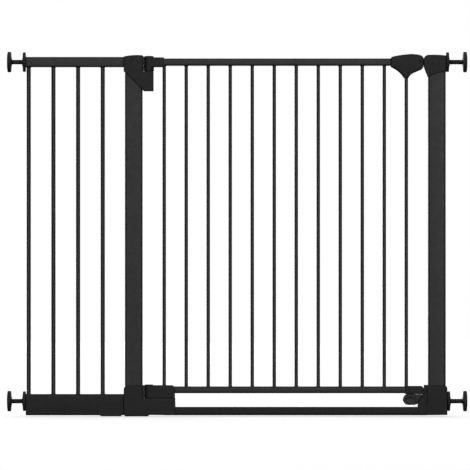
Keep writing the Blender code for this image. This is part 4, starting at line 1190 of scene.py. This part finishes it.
@dataclass(frozen=True)
class BottomLock:
    """The thumb lock at the door's bottom corner: a sleeve on the rail and the slide under it."""

    dish_depth: float = 1.6 * MM

    def build(self) -> None:
        """Builds the sleeve and the slide."""
        low, high = box_of("bottom_lock_housing")
        floor, top, left, right = 0.0458, high[2], low[0], high[0]
        points = np.vstack((
            straight((left, floor), (right, floor)),
            np.array((right - 6.2 * MM, top - 6.2 * MM)) + circle(6.2 * MM, 96)[0:25],
            straight((left, top)),
        ))  # fmt: skip
        outline = soft_outline(points, 0.9 * MM, 280)
        faces = both_faces("bottom_lock_housing", 1.2 * MM, 0.3 * MM)
        sleeve = moulding("lock_sleeve", outline, *faces, ((left + right) / 2, (floor + top) / 2))
        settle(sleeve, MOULDED, ["bottom_lock_housing"])
        guide = block("lock_slide_guide", (0.3530, -5.0 * MM, low[2]), (0.3640, 5.0 * MM, 0.0495), 0.5 * MM)
        settle(guide, MOULDED, body="door")
        self.build_slide()

    def guide_way(self, top: float) -> Solid:
        """The cutter that leaves room for the guide over the slide's whole travel."""
        return block("guide_way", (0.3522, -5.3 * MM, top - 3.8 * MM), (0.3748, 5.3 * MM, 0.0600), 0.3 * MM)

    def build_slide(self) -> None:
        """A thumb pad, dished on both faces, on a thinner web that follows the foot's slope."""
        low, high = box_of("bottom_lock_slide")
        radius, middle = 11.0 * MM, (low[2] + high[2]) / 2
        right, half, web, tongue = 0.3692, high[1], 7.0 * MM, 5.0 * MM
        points = np.vstack((
            straight((right, low[2]), (right, high[2])),
            np.array((low[0] + radius, middle)) + circle(radius, 96)[24:73],
        ))  # fmt: skip
        outline = soft_outline(points, 2.2 * MM, 280)
        pad = self.plate("lock_thumb_slide", outline, half, 1.4 * MM, (0.3575, middle))
        dishes = [self.dish(sign * half, sign, middle) for sign in (-1.0, 1.0)]
        settle(carve(pad, [self.guide_way(high[2]), *dishes]), MOULDED_FINE, ["bottom_lock_slide"])
        slope = straight((366.0, 24.5), (373.4, 24.5), (375.9, 33.1), (383.6, 45.1), (366.0, 45.1)) * MM
        outline = soft_outline(slope, 0.6 * MM, 240)
        plate = self.plate("lock_slide_web", outline, web, 0.6 * MM, (0.3710, 0.0350))
        settle(carve(plate, [self.guide_way(high[2])]), MOULDED_FINE, body="bottom_lock")
        nose = straight(
            (370.0, 27.0), (384.0, 27.0), (384.0, 44.5), (375.2, 44.5), (375.2, 40.7), (370.0, 40.7)
        ) * MM
        outline = soft_outline(nose, 0.5 * MM, 240)
        bolt = self.plate("lock_tongue", outline, tongue, 0.5 * MM, (0.3780, 0.0340))
        settle(bolt, MOULDED_FINE, body="bottom_lock")

    def plate(
        self, name: str, outline: Array, half: float, rim: float, centre: tuple[float, float]
    ) -> Solid:
        """A flat-faced plate, as thick in front of the gate's middle plane as behind it."""
        return moulding(name, outline, Face(half, rim), Face(-half, rim), centre)

    def dish(self, face: float, sign: float, middle: float) -> Solid:
        """A thumb dish's cutter: an oblong whose outline shrinks as the square root of the depth left."""
        centre = np.array((0.3575, middle))
        oblong = centre + rounded_box(8.6 * MM, 6.6 * MM, 6.5 * MM, 96)
        depth = np.concatenate(((-3.0 * MM,), self.dish_depth * np.linspace(0.0, 0.995, 9)))
        share = np.concatenate(((1.0,), np.sqrt(1 - np.linspace(0.0, 0.995, 9) ** 2)))
        rings = centre + (oblong - centre)[None] * share[:, None, None]
        return solid_from_grid("dish", in_world(rings, face - sign * depth, Axis.Y))


# ---------------------------------------------------------------- pressure mounts


@dataclass(frozen=True)
class PressureMount:
    """One wall mount: cup with its rubber face, threaded spindle, hand wheel, and the guide it runs in."""

    where: str
    side: Side
    pitch: float = 1.5 * MM
    thread: float = 0.45 * MM
    grips: int = 30

    @property
    def label(self) -> str:
        """The words that this mount's CAD nodes end in."""
        return f"{self.where}_{self.side.name.lower()}"

    def build(self) -> None:
        """Builds the wheel, the spindle, the cup and the guide."""
        spindle = middle_of(f"spindle_{self.label}")
        self.build_wheel((0.0, 0.0, spindle[2]))
        self.build_spindle((0.0, 0.0, spindle[2]))
        self.build_cup((0.0, 0.0, spindle[2]))
        if self.side is Side.LEFT:
            self.build_plug(spindle[2])
        else:
            self.build_bush((0.0, 0.0, spindle[2]))

    def build_wheel(self, centre: Sequence[float]) -> None:
        """A bored wheel with a grooved rim and a dished web that swells into the hub."""
        node = f"adjusting_wheel_{self.label}"
        low, high = box_of(node)
        face = low[0] if self.side is Side.RIGHT else high[0]
        loop = np.array((
            (5.15, 0.0), (19.8, 0.0), (20.4, 0.6), (20.4, 5.2), (19.8, 5.8), (16.8, 6.0), (15.6, 5.5),
            (10.6, 6.1), (9.2, 6.9), (8.0, 7.4), (5.15, 7.4),
        )) * MM  # fmt: skip
        profile = soft_outline(loop, 0.7 * MM, 96)
        grip = 0.55 * MM * np.clip((profile[:, 0] - 18.6 * MM) / (1.4 * MM), 0.0, 1.0)
        wheel = turned(
            f"hand_wheel_{self.label}", profile, (face, *centre[1:]), Axis.X, self.side.value, True,
            (self.grips, grip), 180,
        )  # fmt: skip
        settle(wheel, MOULDED, [node])

    def build_spindle(self, centre: Sequence[float]) -> None:
        """A rod with a rolled thread.

        The radius drops by the thread's depth times a triangle wave of x / pitch - t / (2 pi), flattened at
        crest and root, and fades at both ends.
        """
        node = f"spindle_{self.label}"
        low, high = box_of(node)
        radius, steps = high[1], int((high[0] - low[0]) / self.pitch * 8)
        x = np.linspace(low[0], high[0], steps)
        turn = np.linspace(0.0, math.tau, 28, endpoint=False)
        wave = (x[:, None] / self.pitch - turn[None, :] / math.tau) % 1.0
        groove = np.clip(1.5 - 3.0 * np.abs(wave - 0.5) * 2, 0.0, 1.0)
        fade = np.clip(np.minimum(x - low[0], high[0] - x) / (2 * MM), 0.0, 1.0)
        taper = 0.5 * MM * (1 - np.clip(fade * 4, 0, 1))[:, None]
        wide = radius - self.thread * (groove * fade[:, None]) - taper
        outlines = np.stack((wide * np.cos(turn), wide * np.sin(turn)), axis=-1)
        rod = solid_from_grid(f"threaded_rod_{self.label}", in_world(outlines, x, Axis.X, centre), sharp=50.0)
        settle(rod, BLACK_ZINC, [node])

    def build_cup(self, centre: Sequence[float]) -> None:
        """A dished plastic cup, and the rubber face that grips the wall.

        The rubber's face is ringed by half a ring depth times 1 - cos(2 pi r / pitch), and falls back with
        the square of the distance past its flat middle.
        """
        node = f"wall_cup_{self.label}"
        low, high = box_of(node)
        wall, sign = (low[0], 1.0) if self.side is Side.LEFT else (high[0], -1.0)
        place = (wall, *centre[1:])
        loop = np.array((
            (0.4, 4.0), (5.1, 4.0), (5.1, 9.8), (8.0, 9.8), (9.2, 9.3), (14.0, 8.9), (19.4, 8.4), (20.6, 7.9),
            (21.2, 7.2), (21.2, 3.0), (0.4, 3.0),
        )) * MM  # fmt: skip
        profile = soft_outline(loop, 0.6 * MM, 120)
        cup = turned(f"cup_shell_{self.label}", profile, place, Axis.X, sign, True, count=96)
        settle(cup, MOULDED, [node])
        radius = np.linspace(0.3, 20.3, 90) * MM
        rings = 0.35 * MM * (0.5 - 0.5 * np.cos(math.tau * radius / (2.9 * MM))) * (radius < 18.6 * MM)
        fall = 1.0 * MM * np.clip((radius - 12.0 * MM) / (8.3 * MM), 0.0, 1.0) ** 2
        front = np.stack((radius, rings + fall), axis=-1)
        rim = np.array(((20.9, 1.25), (21.15, 1.7), (21.15, 2.95), (0.3, 2.95))) * MM
        pad = turned(f"wall_pad_{self.label}", np.vstack((front, rim)), place, Axis.X, sign, count=96)
        settle(pad, RUBBER, body=BODY_OF[node])

    def build_plug(self, height: float) -> None:
        """The guide in the rail's open end: a bored rectangle."""
        node = f"rail_plug_{self.label}"
        low, high = box_of(node)
        middle = (low + high) / 2
        outer = rounded_box(high[1], (high[2] - low[2]) / 2, 0.8 * MM, 64)
        outer = outer + np.array((0.0, middle[2] - height))
        place, bore = (0.0, 0.0, height), circle(5.15 * MM, 64)
        plug = tube(f"rail_guide_{self.where}", outer, bore, low[0], high[0], Axis.X, place)
        settle(plug, NYLON, [node])

    def build_bush(self, centre: Sequence[float]) -> None:
        """The flanged guide in the post's outer wall."""
        node = f"post_bush_{self.label}"
        place = (box_of(node)[1][0], *centre[1:])
        loop = np.array((
            (5.15, 0.0), (6.2, 0.0), (6.2, -1.8), (6.9, -1.8), (6.9, -5.8), (5.15, -5.8),
        )) * MM  # fmt: skip
        profile = soft_outline(loop, 0.2 * MM, 60)
        bush = turned(f"post_guide_{self.where}", profile, place, Axis.X, 1.0, True, count=48)
        settle(bush, NYLON, [node])


# ---------------------------------------------------------------- studio


@dataclass(frozen=True)
class SoftBox:
    """A square studio light that looks at the middle of the gate."""

    name: str
    place: tuple[float, float, float]
    size: float
    power: float

    def build(self, target: Vector) -> None:
        """Hangs the light and turns it to the target."""
        light = bpy.data.lights.new(self.name, "AREA")
        light.shape = "SQUARE"
        light.size = self.size
        light.energy = self.power
        holder = bpy.data.objects.new(self.name, light)
        holder.visible_camera = False
        holder.location = self.place
        holder.rotation_euler = (target - holder.location).to_track_quat("-Z", "Y").to_euler()
        bpy.context.scene.collection.objects.link(holder)


@dataclass(frozen=True)
class Studio:
    """Pale floor, soft lights, white surroundings and a long lens square to the gate's front."""

    distance: float = 10.0
    sensor: float = 36.0
    framed_width: float = 0.9735
    aim: tuple[float, float] = (-0.0045, 0.3752)
    floor_half: float = 7.0
    surround: float = 0.09
    paper_glow: float = 0.55
    lights: tuple[SoftBox, ...] = (
        SoftBox("key", (2.8, -8.0, 1.7), 4.0, 168.0),
        SoftBox("fill", (-3.0, -8.0, 1.5), 4.0, 138.0),
        SoftBox("top", (0.0, 0.0, 3.8), 3.4, 45.0),
        SoftBox("back_left", (-3.6, 7.0, 2.0), 4.0, 210.0),
        SoftBox("back_right", (4.6, 6.0, 2.0), 4.0, 150.0),
    )

    def build(self) -> None:
        """Builds the camera, the lights, the world and the floor."""
        self.build_camera()
        target = Vector((0.0, 0.0, self.aim[1]))
        for light in self.lights:
            light.build(target)
        self.build_world()
        self.build_floor()
        view = bpy.context.scene.view_settings
        view.view_transform = "Standard"
        view.look = "None"

    def build_camera(self) -> None:
        """A camera as far off as makes the view nearly parallel."""
        lens = bpy.data.cameras.new("front_view")
        lens.sensor_width = self.sensor
        lens.lens = self.sensor * self.distance / self.framed_width
        lens.clip_start, lens.clip_end = 0.1, 100.0
        camera = bpy.data.objects.new("front_view", lens)
        camera.location = (self.aim[0], -self.distance, self.aim[1])
        camera.rotation_euler = (math.pi / 2, 0.0, 0.0)
        bpy.context.scene.collection.objects.link(camera)
        bpy.context.scene.camera = camera

    def build_world(self) -> None:
        """White to the eye, and dimmer to the gate, so that dark paint stays dark."""
        world = bpy.data.worlds.new("white_surround")
        world.use_nodes = True
        tree = world.node_tree
        tree.nodes.clear()
        seen = add_node(tree, "ShaderNodeLightPath").outputs["Is Camera Ray"]
        share = add_node(tree, "ShaderNodeMapRange", {"Value": seen, "To Min": self.surround, "To Max": 1.0})
        glow = {"Color": (1.0, 1.0, 1.0, 1.0), "Strength": share.outputs["Result"]}
        light = add_node(tree, "ShaderNodeBackground", glow)
        add_node(tree, "ShaderNodeOutputWorld", {"Surface": light.outputs["Background"]})
        bpy.context.scene.world = world

    def build_floor(self) -> None:
        """A matt pale sheet, a flat grid in x and y just under the gate."""
        count = 9
        steps = np.linspace(-self.floor_half, self.floor_half, count)
        x, y = np.meshgrid(steps, steps, indexing="ij")
        points = np.stack((x, y, np.full_like(x, -0.2 * MM)), axis=-1).reshape(-1, 3)
        near = np.arange(count - 1)[:, None] * count + np.arange(count - 1)[None, :]
        quads = np.stack((near, near + count, near + count + 1, near + 1), axis=-1).reshape(-1, 4)
        mesh = bpy.data.meshes.new("studio_floor")
        mesh.from_pydata(points.tolist(), [], quads.tolist())
        floor = bpy.data.objects.new("studio_floor", mesh)
        bpy.context.scene.collection.objects.link(floor)
        paper = bpy.data.materials.new("matt_paper")
        paper.use_nodes = True
        tree = paper.node_tree
        shader = tree.nodes["Principled BSDF"]
        place = add_node(tree, "ShaderNodeTexCoord").outputs["Object"]
        fibre = add_node(tree, "ShaderNodeTexNoise", {"Vector": place, "Scale": 2.0, "Detail": 3.0})
        greys = {"Factor": fibre.outputs["Fac"], 6: linear("#f4f4f4"), 7: linear("#f8f8f8")}
        tone = add_node(tree, "ShaderNodeMix", greys, data_type="RGBA")
        tree.links.new(tone.outputs[2], shader.inputs["Base Color"])
        shader.inputs["Roughness"].default_value = 0.9
        shader.inputs["Specular IOR Level"].default_value = 0.1
        shader.inputs["Emission Color"].default_value = (1.0, 1.0, 1.0, 1.0)
        shader.inputs["Emission Strength"].default_value = self.paper_glow
        mesh.materials.append(paper)
        floor.visible_diffuse = False
        floor.visible_glossy = False


def main() -> None:
    """Builds the gate's assemblies in order, then the studio round them."""
    logging.basicConfig(level=logging.INFO, format="%(name)s %(message)s")
    Studio().build()
    SteelWork().build()
    TopHingeHousing().build()
    StrikeCap().build()
    BaseBrackets().build()
    Coupler().build()
    Knuckles().build()
    Closer().build()
    Latch().build()
    BottomLock().build()
    for where in ("top", "bottom"):
        for side in Side:
            PressureMount(where, side).build()


if __name__ == "__main__":
    main()
